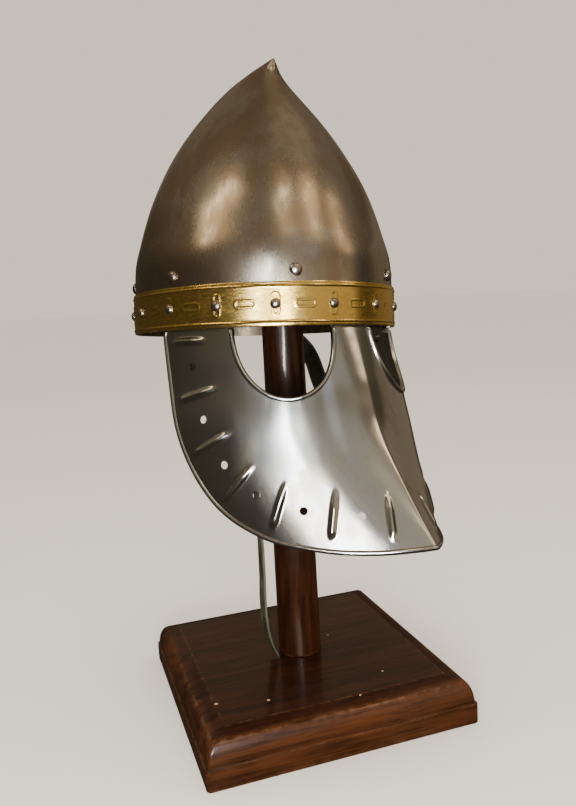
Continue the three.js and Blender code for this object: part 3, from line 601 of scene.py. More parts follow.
# Turn in degrees, and the lower edge there as a share of the guard's drop
GUARD_EDGE = [
    (0, 1), (8, 1.008), (18, 1.015), (32, 1.006), (48, 0.951), (62, 0.794), (74, 0.482), (84, 0.038),
]
spread_at = table_curve(GUARD_SECTIONS, 0, 1)
reach_at = table_curve(GUARD_SECTIONS, 0, 2)
edge_at = table_curve(GUARD_EDGE, 0, 1)


def guard_surface(turn, depth):
    """The guard's outer surface at a turn from the keel and a depth below the band."""
    turn, depth = np.broadcast_arrays(np.asarray(turn, float), np.asarray(depth, float))
    share = np.maximum(depth, 0) / GUARD_DROP
    half_width = GUARD_HALF_WIDTH * spread_at(share)
    half_depth = GUARD_HALF_DEPTH * spread_at(share)
    keel = GUARD_HALF_DEPTH + reach_at(share) * (PROW_REACH - GUARD_HALF_DEPTH)
    off_keel = np.sqrt(turn**2 + KEEL_ROUNDING**2) - KEEL_ROUNDING * 0.5
    wedge = np.maximum(1 - off_keel / KEEL_SPREAD, 0) ** KEEL_SHARPNESS
    y = -half_depth * np.cos(turn) - (keel - half_depth) * wedge
    return np.stack([half_width * np.sin(turn), y, -depth], -1)


def guard_slopes(turn, depth):
    step = 1e-3
    across = (guard_surface(turn + step, depth) - guard_surface(turn - step, depth)) / (2 * step)
    low = np.maximum(depth, 0) + step
    down = (guard_surface(turn, low + step) - guard_surface(turn, low - step)) / (2 * step)
    down = np.where((np.asarray(depth) <= 0)[..., None], np.array([0.0, 0.0, -1.0]), down)
    return across, down


def guard_normal(turn, depth):
    across, down = guard_slopes(turn, depth)
    return unit(np.cross(down, across))


def edge_depth(turn):
    return GUARD_DROP * edge_at(np.abs(np.degrees(turn)))


def step_over(turn, depth, way):
    """How a small step in space changes the turn and depth of a place on the sheet."""
    across, down = guard_slopes(np.asarray(turn), np.asarray(depth))
    mix = (across * down).sum(-1)
    scale = (across**2).sum(-1) * (down**2).sum(-1) - mix**2
    by_across, by_down = (way * across).sum(-1), (way * down).sum(-1)
    return (
        (by_across * (down**2).sum(-1) - by_down * mix) / scale,
        (by_down * (across**2).sum(-1) - by_across * mix) / scale,
    )


edge_turns = np.linspace(0, REAR_TURN, 481)
edge_line = guard_surface(edge_turns, edge_depth(edge_turns))
edge_marks = np.concatenate([[0], np.cumsum(np.linalg.norm(np.diff(edge_line, axis=0), axis=1))])
flute_pitch = (edge_marks[-1] - PROW_MARGIN - REAR_MARGIN) / (FLUTES_PER_SIDE - 1)


def inward_line(along, reach):
    """Turns and depths of a line walked in from the lower edge, square to it, a millimetre a step."""
    turn = float(np.interp(along, edge_marks, edge_turns))
    depth = float(edge_depth(turn))
    ends = [guard_surface(turn + way, edge_depth(turn + way)) for way in (-0.01, 0.01)]
    way = unit(np.cross(unit(ends[1] - ends[0]), guard_normal(turn, depth)))
    if way[2] < 0:
        way = -way
    line = [(turn, depth)]
    for _ in range(int(reach)):
        over = step_over(turn, depth, way)
        turn, depth = turn + over[0], depth + over[1]
        line.append((turn, depth))
    return np.array(line)


def flute_line(along):
    line = inward_line(along, FLUTE_INSET + FLUTE_LENGTH + 3)
    marks = np.linspace(FLUTE_INSET - 1, FLUTE_INSET + FLUTE_LENGTH + 2, 38)
    line = np.stack([np.interp(marks, np.arange(len(line)), line[:, k]) for k in (0, 1)], -1)
    line[:, 1] = np.maximum(line[:, 1], FLUTE_BELOW_BAND)
    return line


right_flutes = [flute_line(PROW_MARGIN + i * flute_pitch) for i in range(FLUTES_PER_SIDE)]
right_holes = [
    inward_line(PROW_MARGIN + (i + 0.5) * flute_pitch, HOLE_INSET)[-1] for i in range(FLUTES_PER_SIDE - 1)
]


def eye_outline(side, grow, steps=56):
    """Half an ellipse hanging from the band, grown outward by some millimetres."""
    angle = np.pi * np.arange(steps + 1) / steps
    half_turn = (EYE_OUTER - EYE_INNER[side]) / 2 + grow / GUARD_HALF_WIDTH
    turn = side * ((EYE_OUTER + EYE_INNER[side]) / 2 - half_turn * np.cos(angle))
    return np.stack([turn, np.maximum((EYE_DROP + grow) * np.sin(angle), CLEARANCE + 0.5)], -1)


def beside(line, offset):
    """A line on the sheet moved sideways over it by some millimetres."""
    places = guard_surface(line[:, 0], line[:, 1])
    ahead = unit(np.gradient(places, axis=0))
    side = np.cross(ahead, guard_normal(line[:, 0], line[:, 1]))
    turn, depth = step_over(line[:, 0], line[:, 1], side * offset)
    return line + np.stack([turn, depth], -1)


def circle_round(place, radius, steps=20):
    across, down = guard_slopes(*place)
    first = unit(across)
    second = np.cross(first, guard_normal(*place))
    angle = 2 * np.pi * np.arange(steps)[:, None] / steps
    way = radius * (np.cos(angle) * first + np.sin(angle) * second)
    turn, depth = step_over(np.full(steps, place[0]), np.full(steps, place[1]), way)
    return np.stack([place[0] + turn, place[1] + depth], -1)


def distance_to_line(points, line):
    """The least distance from each point to a chain of points, and where along it that is."""
    least, where = np.full(len(points), np.inf), np.zeros(len(points))
    for i, (a, b) in enumerate(zip(line[:-1], line[1:])):
        along = b - a
        share = np.clip((points - a) @ along / max(along @ along, 1e-9), 0, 1)
        away = np.linalg.norm(points - a - share[:, None] * along, axis=1)
        where = np.where(away < least, (i + share) / (len(line) - 1), where)
        least = np.minimum(least, away)
    return least, where


def inside_loop(points, loop):
    """Whether flat points lie inside a closed flat loop."""
    inside = np.zeros(len(points), bool)
    x, y = points.T
    for (x0, y0), (x1, y1) in zip(loop, np.roll(loop, -1, axis=0)):
        crosses = (y0 > y) != (y1 > y)
        inside ^= crosses & (x < (x1 - x0) * (y - y0) / (y1 - y0 + 1e-12) + x0)
    return inside


def sheet_outline():
    """The cut sheet's border: along its top, down the left, and back along the lower edge."""
    top = np.linspace(-REAR_TURN, REAR_TURN, 89)
    lower = np.interp(np.arange(0, edge_marks[-1], 1.3), edge_marks, edge_turns)
    lower = np.concatenate([-lower[:0:-1], lower])
    rear = np.linspace(-GUARD_TUCK, edge_depth(REAR_TURN), 12)
    return np.concatenate([
        np.stack([top, np.full(len(top), -GUARD_TUCK)], -1)[:-1],
        np.stack([np.full(12, REAR_TURN), rear], -1),
        np.stack([lower, edge_depth(lower)], -1)[::-1],
        np.stack([np.full(12, -REAR_TURN), rear], -1)[:0:-1],
    ])


def guard_sheet():
    """The sheet's flat pattern cut into triangles, then raised and given its thickness."""
    flat = np.array([GUARD_HALF_WIDTH, 1])
    sides = (-1, 1)
    flutes = [line * (side, 1) for line in right_flutes for side in sides]
    holes = [(place[0] * side, place[1]) for place in right_holes for side in sides]
    loops = [sheet_outline()]
    for side in sides:
        eye = eye_outline(side, 0)
        top = np.linspace(eye[-1, 0], eye[0, 0], 17)
        loops.append(np.concatenate([eye, np.stack([top, np.full(17, -1.5)], -1)]))
    loops += [circle_round(place, HOLE_RADIUS) for place in holes]
    keel = np.stack([np.zeros(110), np.linspace(-GUARD_TUCK + 1.6, GUARD_DROP - 1.4, 110)], -1)
    close = [beside(line, offset) for line in flutes for offset in np.linspace(-4.2, 4.2, 13)]
    close += [keel + (math.radians(turn), 0) for turn in (-2, -1.1, -0.5, 0, 0.5, 1.1, 2)]
    close += [circle_round(place, HOLE_RADIUS + 0.7) for place in holes]
    for side in sides:
        rings = [eye_outline(side, grow) for grow in (0.35, 0.8, 1.3, 1.8, 2.3, 2.8, 3.2, 3.6, 4.2)]
        close += [ring[ring[:, 1] > 1.2] for ring in rings]
    across, down = np.linspace(-REAR_TURN, REAR_TURN, 125), np.arange(-GUARD_TUCK, GUARD_DROP * 1.02, 2.5)
    across, down = np.meshgrid(across, down)
    open_ground = np.stack([across.ravel(), down.ravel()], -1)
    outline = loops[0] * flat

    everything = np.concatenate(loops) * flat
    for group, gap in ((np.concatenate(close), CLOSE_SPACING), (open_ground, OPEN_SPACING)):
        group = group * flat
        group = group[inside_loop(group, outline)]
        for loop in loops[1:]:
            group = group[~inside_loop(group, loop * flat)]
        tree = kdtree.KDTree(len(everything))
        for i, point in enumerate(everything):
            tree.insert((*point, 0), i)
        tree.balance()
        everything = np.concatenate([everything, [at for at in group if tree.find((*at, 0))[2] > gap]])
    edges, start = [], 0
    for loop in loops:
        size = len(loop)
        edges += [(start + i, start + (i + 1) % size) for i in range(size)]
        start += size
    cut = delaunay_2d_cdt([Vector(point) for point in everything], edges, [], 0, 1e-5)
    pattern = np.array([tuple(point) for point in cut[0]])
    triangles = np.array([tuple(face) for face in cut[2]])
    centres = pattern[triangles].mean(1)
    keep = inside_loop(centres, outline)
    for loop in loops[1:]:
        keep &= ~inside_loop(centres, loop * flat)
    triangles = triangles[keep]

    turn, depth = (pattern / flat).T
    place, normal = guard_surface(turn, depth), guard_normal(turn, depth)
    pressed = np.zeros(len(pattern))
    for line in flutes:
        away, where = distance_to_line(place, guard_surface(line[:, 0], line[:, 1]))
        taper = np.clip(np.minimum(where / 0.2, (1 - where) / 0.42), 0, 1)
        taper = taper * taper * (3 - 2 * taper)
        pressed = np.maximum(pressed, FLUTE_RISE * taper * ridge(away, FLUTE_WIDTH * (0.85 + 0.2 * taper)))
    rolled = np.zeros(len(pattern))
    for side in sides:
        line = eye_outline(side, 0, 120)
        away = distance_to_line(place, guard_surface(line[:, 0], line[:, 1]))[0]
        bead = np.sqrt(np.clip(1 - (away / (LIP_WIDTH / 2) - 1) ** 2, 0, 1)) * LIP_RISE
        rolled = np.maximum(rolled, bead * np.clip((depth - 0.6) / 1.6, 0, 1))
    wave = hammered(place, 30, 0.3) * np.clip(depth / 12, 0, 1)
    outer = place + normal * (pressed + rolled + wave)[:, None]
    inner = place + normal * (pressed + wave - GUARD_WALL)[:, None]
    shaped = outer[triangles]
    facing = np.cross(shaped[:, 1] - shaped[:, 0], shaped[:, 2] - shaped[:, 0])
    turned = (facing * normal[triangles].mean(1)).sum(1) < 0
    triangles[turned] = triangles[turned][:, ::-1]
    count = len(pattern)
    rims = dict.fromkeys(rim for a, b, c in triangles.tolist() for rim in ((a, b), (b, c), (c, a)))
    border = [(a, b) for a, b in rims if (b, a) not in rims]
    faces = triangles.tolist() + (triangles[:, ::-1] + count).tolist()
    faces += [(b, a, a + count, b + count) for a, b in border]
    used = sorted({index for face in faces for index in face})
    lookup = {old: new for new, old in enumerate(used)}
    points = np.concatenate([outer, inner])[used]
    return points, [[lookup[index] for index in face] for face in faces]


def bent_rod(path, normals, radius, sides=14):
    """A round rod along a path, as rings with closed ends."""
    ahead = unit(np.gradient(path, axis=0))
    side = unit(np.cross(ahead, normals))
    out = np.cross(side, ahead)
    angle = 2 * np.pi * (np.arange(sides) + 0.5) / sides
    rings = path[:, None] + radius * (
        out[:, None] * np.cos(angle)[None, :, None] + side[:, None] * np.sin(angle)[None, :, None]
    )
    return np.concatenate([rings.reshape(-1, 3), path[:1], path[-1:]]), closed_rings(len(path), sides)


def rolled_edge():
    turns = np.interp(np.arange(0, edge_marks[-1] + 1, 2), edge_marks, edge_turns)
    turns = np.concatenate([-turns[:0:-1], turns])
    depths = edge_depth(turns)
    turns = np.concatenate([turns[:1], turns, turns[-1:]])
    depths = np.concatenate([[1.2], depths, [1.2]])
    normals = guard_normal(turns, depths)
    return bent_rod(guard_surface(turns, depths) - normals * GUARD_WALL / 2, normals, EDGE_WIRE_RADIUS)


guard_finish = polished_steel("guard steel", (0.62, 0.63, 0.61), (0.52, 0.48, 0.4), 0.4, 0.17, 0.04)
points, faces = guard_sheet()
wire_points, wire_faces = rolled_edge()
faces += [[index + len(points) for index in face] for face in wire_faces]
points = settled(np.concatenate([points, wire_points]))
guard = make_piece("fluted_face_guard", points, faces, guard_finish, crease_deg=45)
hand_over(guard, "guard_steel", "face_guard")

# Chin strap
# Two lengths of grey-green leather, each riveted inside the skull, meet in a buckle under the
# chin. The longer one hangs on from the buckle as a free tail that reaches the base.
STRAP_WIDTH = 15
STRAP_THICKNESS = 1.8
STRAP_LAP = 9
STRAP_CORNER = 0.6
STRAP_EDGE = 3
LINER_RIVETS = 7
LINER_RIVET_HEIGHT = 40
BUCKLE_LENGTH = 10
BUCKLE_WALL = 1.8
# Across and along as shares of the skull's half width and depth, height of the guard's drop, facing
STRAP_LEFT_ROUTE = [
    (0.72, 0.27, -0.116, (-0.8, -0.6, 0.1)), (0.548, -0.045, -0.29, (-0.75, -0.6, 0.25)),
    (0.406, -0.314, -0.458, (-0.55, -0.3, 0.7)), (0.22, -0.42, -0.575, (-0.3, 0.1, 0.95)),
    (0.01, -0.405, -0.625, (-0.05, 0.05, 1)),
]
STRAP_BUCKLE = (-0.19, -0.345, -0.626, (0.05, 0, 1))
STRAP_RIGHT_ROUTE = [
    (-0.47, -0.29, -0.56, (0.5, 0, 0.85)), (-0.66, -0.27, -0.4, (0.75, 0.1, 0.6)),
    (-0.82, -0.245, -0.19, (0.9, 0.15, 0.3)),
]
# Turn in degrees, height as a share of the liner rivets', inset from the wall in strap thicknesses
STRAP_WALL_ROUTE = [(-80, 0.05, 2.556), (-90, 0.42, 1.889), (-102, 0.7, 1.333), (-116, 0.88, 0.889)]
# Across and along as shares of half the base's top, height of the way from it to the buckle, facing
STRAP_TAIL_ROUTE = [
    (-0.584, -0.263, 0.96, (-0.87, 0.36, 0.33)), (-0.584, -0.247, 0.858, (-0.92, 0.38, 0)),
    (-0.558, -0.227, 0.61, (-0.93, 0.36, 0)), (-0.547, -0.209, 0.454, (-0.94, 0.34, 0)),
    (-0.526, -0.167, 0.312, (-0.955, 0.3, 0)), (-0.432, -0.068, 0.16, (-0.98, 0.2, 0)),
    (-0.268, 0.05, 0.0215, (-0.995, 0.1, 0)),
]


def eased_path(points, steps):
    """A smooth path through points whose pace follows the square root of their spacing."""
    points = np.asarray(points, float)
    ends = [2 * points[0] - points[1]], [2 * points[-1] - points[-2]]
    run = np.concatenate([ends[0], points, ends[1]])
    path = []
    for k in range(len(points) - 1):
        p0, p1, p2, p3 = run[k:k + 4]
        gaps = [max(float(np.linalg.norm(b - a)) ** 0.5, 1e-4) for a, b in ((p0, p1), (p1, p2), (p2, p3))]
        first = ((p1 - p0) / gaps[0] - (p2 - p0) / (gaps[0] + gaps[1]) + (p2 - p1) / gaps[1]) * gaps[1]
        second = ((p2 - p1) / gaps[1] - (p3 - p1) / (gaps[1] + gaps[2]) + (p3 - p2) / gaps[2]) * gaps[1]
        for t in np.arange(steps) / steps:
            path.append(
                p1 + first * t + (3 * (p2 - p1) - 2 * first - second) * t**2
                + (2 * (p1 - p2) + first + second) * t**3
            )
    return np.array(path + [points[-1]])


def strap_place(across, along, height, facing):
    place = np.array([across * SKULL_HALF_WIDTH, along * SKULL_HALF_DEPTH, height * GUARD_DROP])
    return place, unit(np.array(facing))


def wall_place(turn, height, inset):
    rise = height / SKULL_HEIGHT
    normal = skull_normal(max(rise, 0.05), turn)
    return skull_surface(rise, turn) - normal * (SKULL_WALL + inset), -normal


def tail_place(across, along, height, facing):
    foot = np.array([across, along]) * BASE_TOP_SIDE / 2
    up = BASE_HEIGHT + height * (settled(buckle_middle)[2] - BASE_HEIGHT)
    return (np.array([*foot, up]) - HELMET_OFFSET) @ helmet_turn, unit(np.array(facing, float)) @ helmet_turn


def buckle_place(along, level):
    return buckle_middle + into_buckle * along + buckle_up * level, buckle_up


buckle_middle, buckle_facing = strap_place(*STRAP_BUCKLE)
into_buckle = unit(buckle_middle - strap_place(*STRAP_LEFT_ROUTE[-1])[0])
buckle_side = unit(np.cross(into_buckle, buckle_facing))
buckle_up = np.cross(buckle_side, into_buckle)
half_lap = (STRAP_THICKNESS + 3 * CLEARANCE) / 2
facet = 2 * math.pi * SKULL_HALF_WIDTH / 48
strap_seat = CLEARANCE + STRAP_THICKNESS / 2 + (STRAP_WIDTH**2 + facet**2) / (8 * SKULL_HALF_WIDTH)
liner_turns = even_turns(SKULL_HALF_WIDTH, SKULL_HALF_DEPTH, LINER_RIVETS, 0.5)[0]


def strap_points(places, steps=14):
    """A flat strip with rounded edges through places that each have a facing."""
    middles = eased_path([place for place, _ in places], steps)
    facings = eased_path([facing for _, facing in places], steps)
    ahead = unit(np.gradient(middles, axis=0))
    side = unit(np.cross(ahead, facings))
    up = np.cross(side, ahead)
    half, thick, corner = STRAP_WIDTH / 2, STRAP_THICKNESS / 2, STRAP_CORNER
    under = [
        (half, thick - corner), (half, corner - thick), (half - corner * 0.3, corner * 0.3 - thick),
        (half - corner, -thick), (half - STRAP_EDGE, -thick), (0, -thick), (STRAP_EDGE - half, -thick),
        (corner - half, -thick), (corner * 0.3 - half, corner * 0.3 - thick),
    ]
    section = under + [(-across, -level) for across, level in under]
    rings = [middles + side * across + up * level for across, level in section]
    rings = np.stack(rings, 1)
    worn = np.array([abs(across) > half - 1.2 for across, _ in section], float)
    for end, inward in ((0, 1), (-1, -1)):
        centre = rings[end].mean(0)
        rings[end] = centre + (rings[end] - centre) * 0.93
    points = np.concatenate([rings.reshape(-1, 3), [rings[0].mean(0)], [rings[-1].mean(0)]])
    worn = np.concatenate([np.tile(worn, len(middles)), [1, 1]])
    return settled(points), closed_rings(len(middles), len(section)), worn


def strap_leather(name):
    """Dyed leather: fine pebbled grain, soft creases and a paler burnished edge."""
    finish = Finish(name)
    grain_settings = {"feature": "F1", "voronoi_dimensions": "3D"}
    pebble = finish.node("ShaderNodeTexVoronoi", grain_settings, {"Vector": finish.place(), "Scale": 950})
    cloudy = finish.cloud(finish.place(), 70, 4, 0.6)
    crease = finish.cloud(finish.place((1, 1, 3)), 240, 3, 0.7, 0.5)
    colour = finish.mix(finish.share(cloudy, 0.35, 0.68), (0.018, 0.019, 0.012), (0.06, 0.061, 0.04))
    colour = finish.mix(finish.kept("worn") * 0.55, colour, (0.12, 0.12, 0.082))
    return finish.surface(
        relief=pebble * 0.5 + crease * 0.7,
        height=0.00025,
        Base_Color=colour,
        Roughness=finish.share(crease, 0.3, 0.7, 0.42, 0.62),
        Coat_Weight=0.12,
    )


left_turn, right_turn = liner_turns[2], liner_turns[4] - 2 * math.pi
left_places = [
    wall_place(left_turn, LINER_RIVET_HEIGHT + STRAP_LAP, strap_seat),
    wall_place(left_turn, LINER_RIVET_HEIGHT - STRAP_LAP, strap_seat),
    wall_place(left_turn, STRAP_LAP, strap_seat + STRAP_THICKNESS),
]
left_places += [strap_place(*row) for row in STRAP_LEFT_ROUTE]
left_places += [buckle_place(along, -half_lap) for along in (-BUCKLE_LENGTH, 0, BUCKLE_LENGTH)]
left_places += [tail_place(*row) for row in STRAP_TAIL_ROUTE]
right_places = [buckle_place(along, half_lap) for along in (-BUCKLE_LENGTH * 0.75, 0, BUCKLE_LENGTH)]
right_places += [strap_place(*row) for row in STRAP_RIGHT_ROUTE]
right_places += [
    wall_place(math.radians(turn), height * LINER_RIVET_HEIGHT, (inset + 0.5) * STRAP_THICKNESS)
    for turn, height, inset in STRAP_WALL_ROUTE
]
right_places += [
    wall_place(right_turn, LINER_RIVET_HEIGHT, strap_seat),
    wall_place(right_turn - STRAP_LAP / SKULL_HALF_WIDTH, LINER_RIVET_HEIGHT + CLEARANCE, strap_seat),
]
leather = strap_leather("strap leather")
for name, places, node in (
    ("leather_strap_left", left_places, "chin_strap_left"),
    ("leather_strap_right", right_places, "chin_strap_right"),
):
    points, faces, worn = strap_points(places)
    strap = make_piece(name, points, faces, leather, crease_deg=40)
    store(strap, "worn", worn)
    hand_over(strap, "leather", node)

# Strap buckle
# A plain steel loop that both ends of the strap pass through under the chin. It is bent from
# flat stock, its corners softened by filing.
rivet_finish = polished_steel("fitting steel", (0.56, 0.54, 0.5), (0.36, 0.31, 0.25), 0.7, 0.24, 0.06)


def buckle_loop():
    half_width = STRAP_WIDTH / 2 + 2 * CLEARANCE
    half_height = STRAP_THICKNESS + 2.5 * CLEARANCE
    rows = []
    for along, grow in ((-1, 0), (-1, BUCKLE_WALL), (1, BUCKLE_WALL), (1, 0)):
        middle = buckle_middle + into_buckle * along * BUCKLE_LENGTH / 2
        across, up = buckle_side * (half_width + grow), buckle_up * (half_height + grow)
        rows += [middle + across * x + up * y for x, y in ((1, 1), (1, -1), (-1, -1), (-1, 1))]
    return settled(rows), ring_faces(4, 4, wraps=True)


points, faces = buckle_loop()
buckle = make_piece("steel_buckle", points, faces, rivet_finish)
bevel = buckle.modifiers.new("filed corners", "BEVEL")
bevel.width = 0.5 * MM
bevel.segments = 3
hand_over(buckle, "rivet_steel", "strap_buckle")

# Rivets
# Dome-headed steel rivets, peened over by hand. One row goes through the band, the skull and in
# front the guard. The upper row holds what lines the skull, and the strap's two ends.
BAND_RIVET = {"Head Radius": 4.2, "Head Rise": 2.8, "Shank Radius": 1.9, "Shank Length": 5.3}
LINER_RIVET = {"Head Radius": 5.1, "Head Rise": 3.2, "Shank Radius": 1.9, "Shank Length": 4.1}
HEAD_UNDERSIDE = -0.1


def rivet_tree():
    """Sets a rivet on every point of a mesh, along the direction stored there."""
    tree = bpy.data.node_groups.new("Rivets on seats", "GeometryNodeTree")
    tree.interface.new_socket("Seats", in_out="INPUT", socket_type="NodeSocketGeometry")
    for label in BAND_RIVET:
        tree.interface.new_socket(label, in_out="INPUT", socket_type="NodeSocketFloat")
    tree.interface.new_socket("Hand Seed", in_out="INPUT", socket_type="NodeSocketInt")
    tree.interface.new_socket("Finish", in_out="INPUT", socket_type="NodeSocketMaterial")
    tree.interface.new_socket("Rivets", in_out="OUTPUT", socket_type="NodeSocketGeometry")
    given = tree.nodes.new("NodeGroupInput")

    def step(kind, settings=None, inputs=None, output=0):
        made = tree.nodes.new(kind)
        for key, value in (settings or {}).items():
            setattr(made, key, value)
        for key, value in (inputs or {}).items():
            if isinstance(value, bpy.types.NodeSocket):
                tree.links.new(value, made.inputs[key])
            else:
                made.inputs[key].default_value = value
        return made.outputs[output]

    radius, rise = given.outputs["Head Radius"], given.outputs["Head Rise"]
    ball = step("GeometryNodeMeshUVSphere", None, {"Segments": 24, "Rings": 14, "Radius": 1.0})
    place = step("GeometryNodeInputPosition")
    level = step("ShaderNodeSeparateXYZ", None, {"Vector": place}, output=2)
    seated = step("ShaderNodeMath", {"operation": "MAXIMUM"}, {0: level, 1: HEAD_UNDERSIDE})
    lifted = step("ShaderNodeMath", {"operation": "SUBTRACT"}, {0: seated, 1: level})
    offset = step("ShaderNodeCombineXYZ", None, {"Z": lifted})
    ball = step("GeometryNodeSetPosition", None, {"Geometry": ball, "Offset": offset})
    size = step("ShaderNodeCombineXYZ", None, {"X": radius, "Y": radius, "Z": rise})
    head = step("GeometryNodeTransform", None, {"Geometry": ball, "Scale": size})
    half = step("ShaderNodeMath", {"operation": "MULTIPLY"}, {0: given.outputs["Shank Length"], 1: -0.5})
    sizes = {"Vertices": 16, "Radius": given.outputs["Shank Radius"], "Depth": given.outputs["Shank Length"]}
    shank = step("GeometryNodeMeshCylinder", None, sizes)
    down = step("ShaderNodeCombineXYZ", None, {"Z": half})
    shank = step("GeometryNodeTransform", None, {"Geometry": shank, "Translation": down})
    rivet = tree.nodes.new("GeometryNodeJoinGeometry")
    tree.links.new(head, rivet.inputs[0])
    tree.links.new(shank, rivet.inputs[0])
    axis = step("GeometryNodeInputNamedAttribute", {"data_type": "FLOAT_VECTOR"}, {"Name": "axis"})
    aimed = step("FunctionNodeAlignRotationToVector", {"axis": "Z"}, {"Vector": axis})
    spin = step("FunctionNodeRandomValue", {"data_type": "FLOAT"}, {
        "Seed": given.outputs["Hand Seed"], 2: 0.0, 3: 6.283,
    }, output=1)
    about = step("FunctionNodeAxisAngleToRotation", None, {"Axis": (0, 0, 1), "Angle": spin})
    rotation = step("FunctionNodeRotateRotation", {"rotation_space": "LOCAL"}, {0: aimed, 1: about})
    struck = step("FunctionNodeRandomValue", {"data_type": "FLOAT_VECTOR"}, {
        "Seed": given.outputs["Hand Seed"], 0: (0.93, 0.93, 0.88), 1: (1.0, 1.0, 1.0),
    })
    placed = step("GeometryNodeInstanceOnPoints", None, {
        "Points": given.outputs["Seats"], "Instance": rivet.outputs[0], "Rotation": rotation, "Scale": struck,
    })
    real = step("GeometryNodeRealizeInstances", None, {"Geometry": placed})
    smooth = step("GeometryNodeSetShadeSmooth", None, {"Geometry": real, "Shade Smooth": True})
    done = step("GeometryNodeSetMaterial", None, {"Geometry": smooth, "Material": given.outputs["Finish"]})
    result = tree.nodes.new("NodeGroupOutput")
    tree.links.new(done, result.inputs[0])
    return tree


def set_rivets(name, tree, turns, half_width, half_depth, height, sizes, seed):
    """Rivets round the bowl at some height, made real as one plain mesh."""
    seats = plan_place(half_width, half_depth, turns, height)
    axes = plan_normal(half_width, half_depth, turns) @ helmet_turn.T
    mesh = bpy.data.meshes.new(name + "_seats")
    mesh.from_pydata((settled(seats) * MM).tolist(), [], [])
    stored = mesh.attributes.new("axis", "FLOAT_VECTOR", "POINT")
    stored.data.foreach_set("vector", axes.ravel().astype(np.float32))
    rivets = bpy.data.objects.new(name, mesh)
    bpy.context.scene.collection.objects.link(rivets)
    setter = rivets.modifiers.new("rivets", "NODES")
    setter.node_group = tree
    values = {label: size * MM for label, size in sizes.items()}
    values.update({"Hand Seed": seed, "Finish": rivet_finish})
    for item in tree.interface.items_tree:
        if item.in_out == "INPUT" and item.name in values:
            setter[item.identifier] = values[item.name]
    graph = bpy.context.evaluated_depsgraph_get()
    graph.update()
    real = bpy.data.meshes.new_from_object(rivets.evaluated_get(graph), depsgraph=graph)
    rivets.modifiers.remove(setter)
    rivets.data = real
    return rivets


rivets_on_seats = rivet_tree()
band_turns = even_turns(BAND_HALF_WIDTH, BAND_HALF_DEPTH, BAND_RIVETS, 0.5)[0]
band_rivets = set_rivets(
    "band_rivets", rivets_on_seats, band_turns, BAND_HALF_WIDTH, BAND_HALF_DEPTH, BAND_HEIGHT / 2,
    BAND_RIVET, seed=3,
)
hand_over(band_rivets, "rivet_steel", *[f"band_rivet_{i:02d}" for i in range(1, BAND_RIVETS + 1)])
liner_rivets = set_rivets(
    "liner_rivets", rivets_on_seats, liner_turns, SKULL_HALF_WIDTH, SKULL_HALF_DEPTH, LINER_RIVET_HEIGHT,
    LINER_RIVET, seed=8,
)
hand_over(liner_rivets, "rivet_steel", *[f"liner_rivet_{i:02d}" for i in range(1, LINER_RIVETS + 1)])

# Studio
# A plain pale floor, with the camera where the photograph was taken from. Soft lamps stand where
# the bright and dark parts of the reflections in the steel and brass ask for them.
camera = bpy.data.objects.new("camera", bpy.data.cameras.new("camera"))
bpy.context.scene.collection.objects.link(camera)
bpy.context.scene.camera = camera
camera.data.lens = 33.1
camera.data.sensor_width = 36
CAMERA_PLACE = Vector((-0.4020, -0.5004, 0.3579))
azimuth, elevation, roll = (math.radians(value) for value in (-38.9, 8.21, -3.18))
forward = Vector((
    -math.sin(azimuth) * math.cos(elevation), math.cos(azimuth) * math.cos(elevation), -math.sin(elevation),
))
level = forward.cross(Vector((0, 0, 1))).normalized()
above = level.cross(forward)
right = level * math.cos(roll) + above * math.sin(roll)
upward = above * math.cos(roll) - level * math.sin(roll)
camera_turn = Matrix((right, upward, -forward)).transposed().to_4x4()
camera.matrix_world = Matrix.Translation(CAMERA_PLACE) @ camera_turn

FLOOR_REACH = 30
floor_mesh = bpy.data.meshes.new("floor")
corners = [(x * FLOOR_REACH, y * FLOOR_REACH, 0) for x, y in ((-1, -1), (1, -1), (1, 1), (-1, 1))]
floor_mesh.from_pydata(corners, [], [(0, 1, 2, 3)])
floor = bpy.data.objects.new("floor", floor_mesh)
bpy.context.scene.collection.objects.link(floor)
floor_paint = {"Base_Color": (0.82, 0.785, 0.715, 1), "Roughness": 1.0, "Specular_IOR_Level": 0.0}
floor_mesh.materials.append(Finish("pale floor").surface(**floor_paint))
floor.visible_glossy = False


HELMET_MIDDLE = Vector((-0.01, 0, 0.36))


def soft_light(name, start, end, width, brightness, colour, distance=1.6, in_reflections=True):
    """A flat lamp between two directions from the helmet, told in degrees right of the camera and up."""
    ways = []
    for swing, rise in (start, end):
        turn, up = math.radians(swing) - math.pi / 2 + azimuth, math.radians(rise)
        ways.append(Vector((math.cos(turn) * math.cos(up), math.sin(turn) * math.cos(up), math.sin(up))))
    out = (ways[0] + ways[1]).normalized()
    across = (ways[1] - ways[0]).cross(out).normalized()
    lamp = bpy.data.lights.new(name, "AREA")
    lamp.shape = "RECTANGLE"
    lamp.size = 2 * distance * math.tan(math.radians(width) / 2)
    lamp.size_y = (ways[1] - ways[0]).length * distance
    lamp.energy = brightness * math.pi * lamp.size * lamp.size_y
    lamp.color = colour
    light = bpy.data.objects.new(name, lamp)
    facing = Matrix((across, out.cross(across), out)).transposed().to_4x4()
    light.matrix_world = Matrix.Translation(HELMET_MIDDLE + out * distance) @ facing
    light.visible_glossy = in_reflections
    bpy.context.scene.collection.objects.link(light)


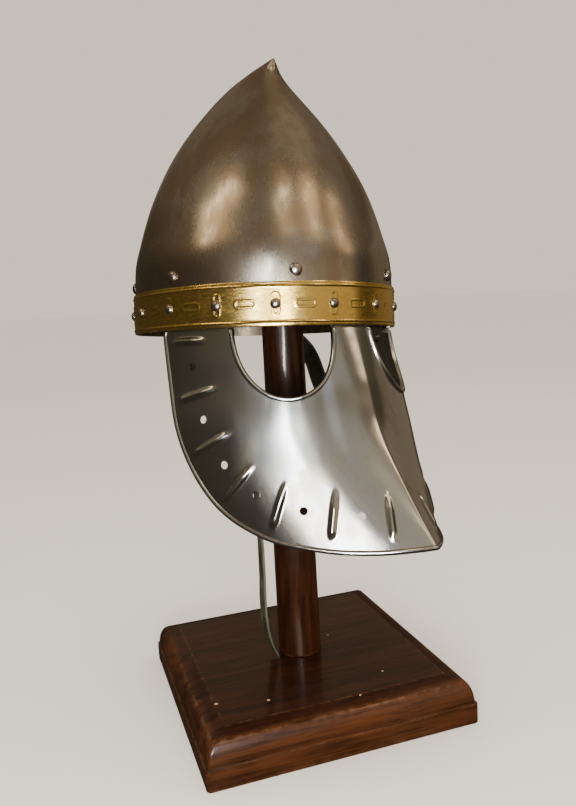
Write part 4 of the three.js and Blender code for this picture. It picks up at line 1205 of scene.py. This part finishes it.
WARM, PLAIN, COOL = (1, 0.77, 0.5), (1, 0.96, 0.9), (0.84, 0.92, 1)
soft_light("flash", (9, -1), (9, 9), 6, 36, PLAIN, distance=0.68)
soft_light("flash on the post", (9, -4), (-9, -15), 4, 110, PLAIN, distance=0.68)
soft_light("tube before the cheek", (1, 19), (-20, -1), 4, 21, (0.94, 0.97, 1), distance=1.4)
soft_light("wall on the left", (-6, 6), (-34, 4), 24, 0.12, PLAIN)
soft_light("wall on the right", (12, 34), (68, 30), 28, 0.22, PLAIN)
soft_light("low wall on the right", (18, 3), (84, 3), 26, 0.42, WARM)
soft_light("pale card over the camera", (-3, 14), (12, 22), 8, 0.36, COOL, distance=1.5)
soft_light("tall lamp on the left", (-36, 58), (-66, 34), 5, 7.5, WARM)
soft_light("lamp over the right", (33, 60), (20, 46), 6, 4, WARM)
soft_light("lamp high on the right", (68, 53), (50, 43), 7, 5, WARM)
soft_light("window on the right", (38, 17), (39, 27), 9, 0.3, COOL)
soft_light("lamp far on the right", (78, 20), (83, 42), 7, 3, WARM)
soft_light("cloth beyond the keel", (104, 2), (152, 2), 34, 0.15, WARM, distance=1.8)
soft_light("wall behind", (150, 14), (210, 14), 18, 0.18, WARM, distance=2.2)
soft_light("ceiling over the right", (66, 66), (140, 58), 26, 0.16, WARM, distance=1.7)
soft_light("ceiling", (0, 60), (180, 86), 50, 2, PLAIN, distance=2, in_reflections=False)

world = bpy.data.worlds.new("room")
bpy.context.scene.world = world
world.use_nodes = True
nodes, links = world.node_tree.nodes, world.node_tree.links
nodes.clear()
paths = nodes.new("ShaderNodeLightPath")
direction = nodes.new("ShaderNodeTexCoord")
height = nodes.new("ShaderNodeSeparateXYZ")
links.new(direction.outputs["Generated"], height.inputs[0])
gloom = nodes.new("ShaderNodeMapRange")
gloom.interpolation_type = "SMOOTHSTEP"
for socket, value in (("From Min", 0.15), ("From Max", 0.65), ("To Min", 0.22), ("To Max", 1.0)):
    gloom.inputs[socket].default_value = value
links.new(height.outputs["Z"], gloom.inputs["Value"])
room_colours = [
    (None, (1.15, 1.08, 0.96)), ("Is Glossy Ray", (0.185, 0.138, 0.09)), ("Is Camera Ray", (1.0, 0.9, 0.73)),
]
shown = None
for ray, colour in room_colours:
    glow = nodes.new("ShaderNodeBackground")
    glow.inputs["Color"].default_value = (*colour, 1)
    if ray == "Is Glossy Ray":
        links.new(gloom.outputs[0], glow.inputs["Strength"])
    if shown:
        either = nodes.new("ShaderNodeMixShader")
        links.new(paths.outputs[ray], either.inputs[0])
        links.new(shown.outputs[0], either.inputs[1])
        links.new(glow.outputs[0], either.inputs[2])
        glow = either
    shown = glow
links.new(shown.outputs[0], nodes.new("ShaderNodeOutputWorld").inputs["Surface"])
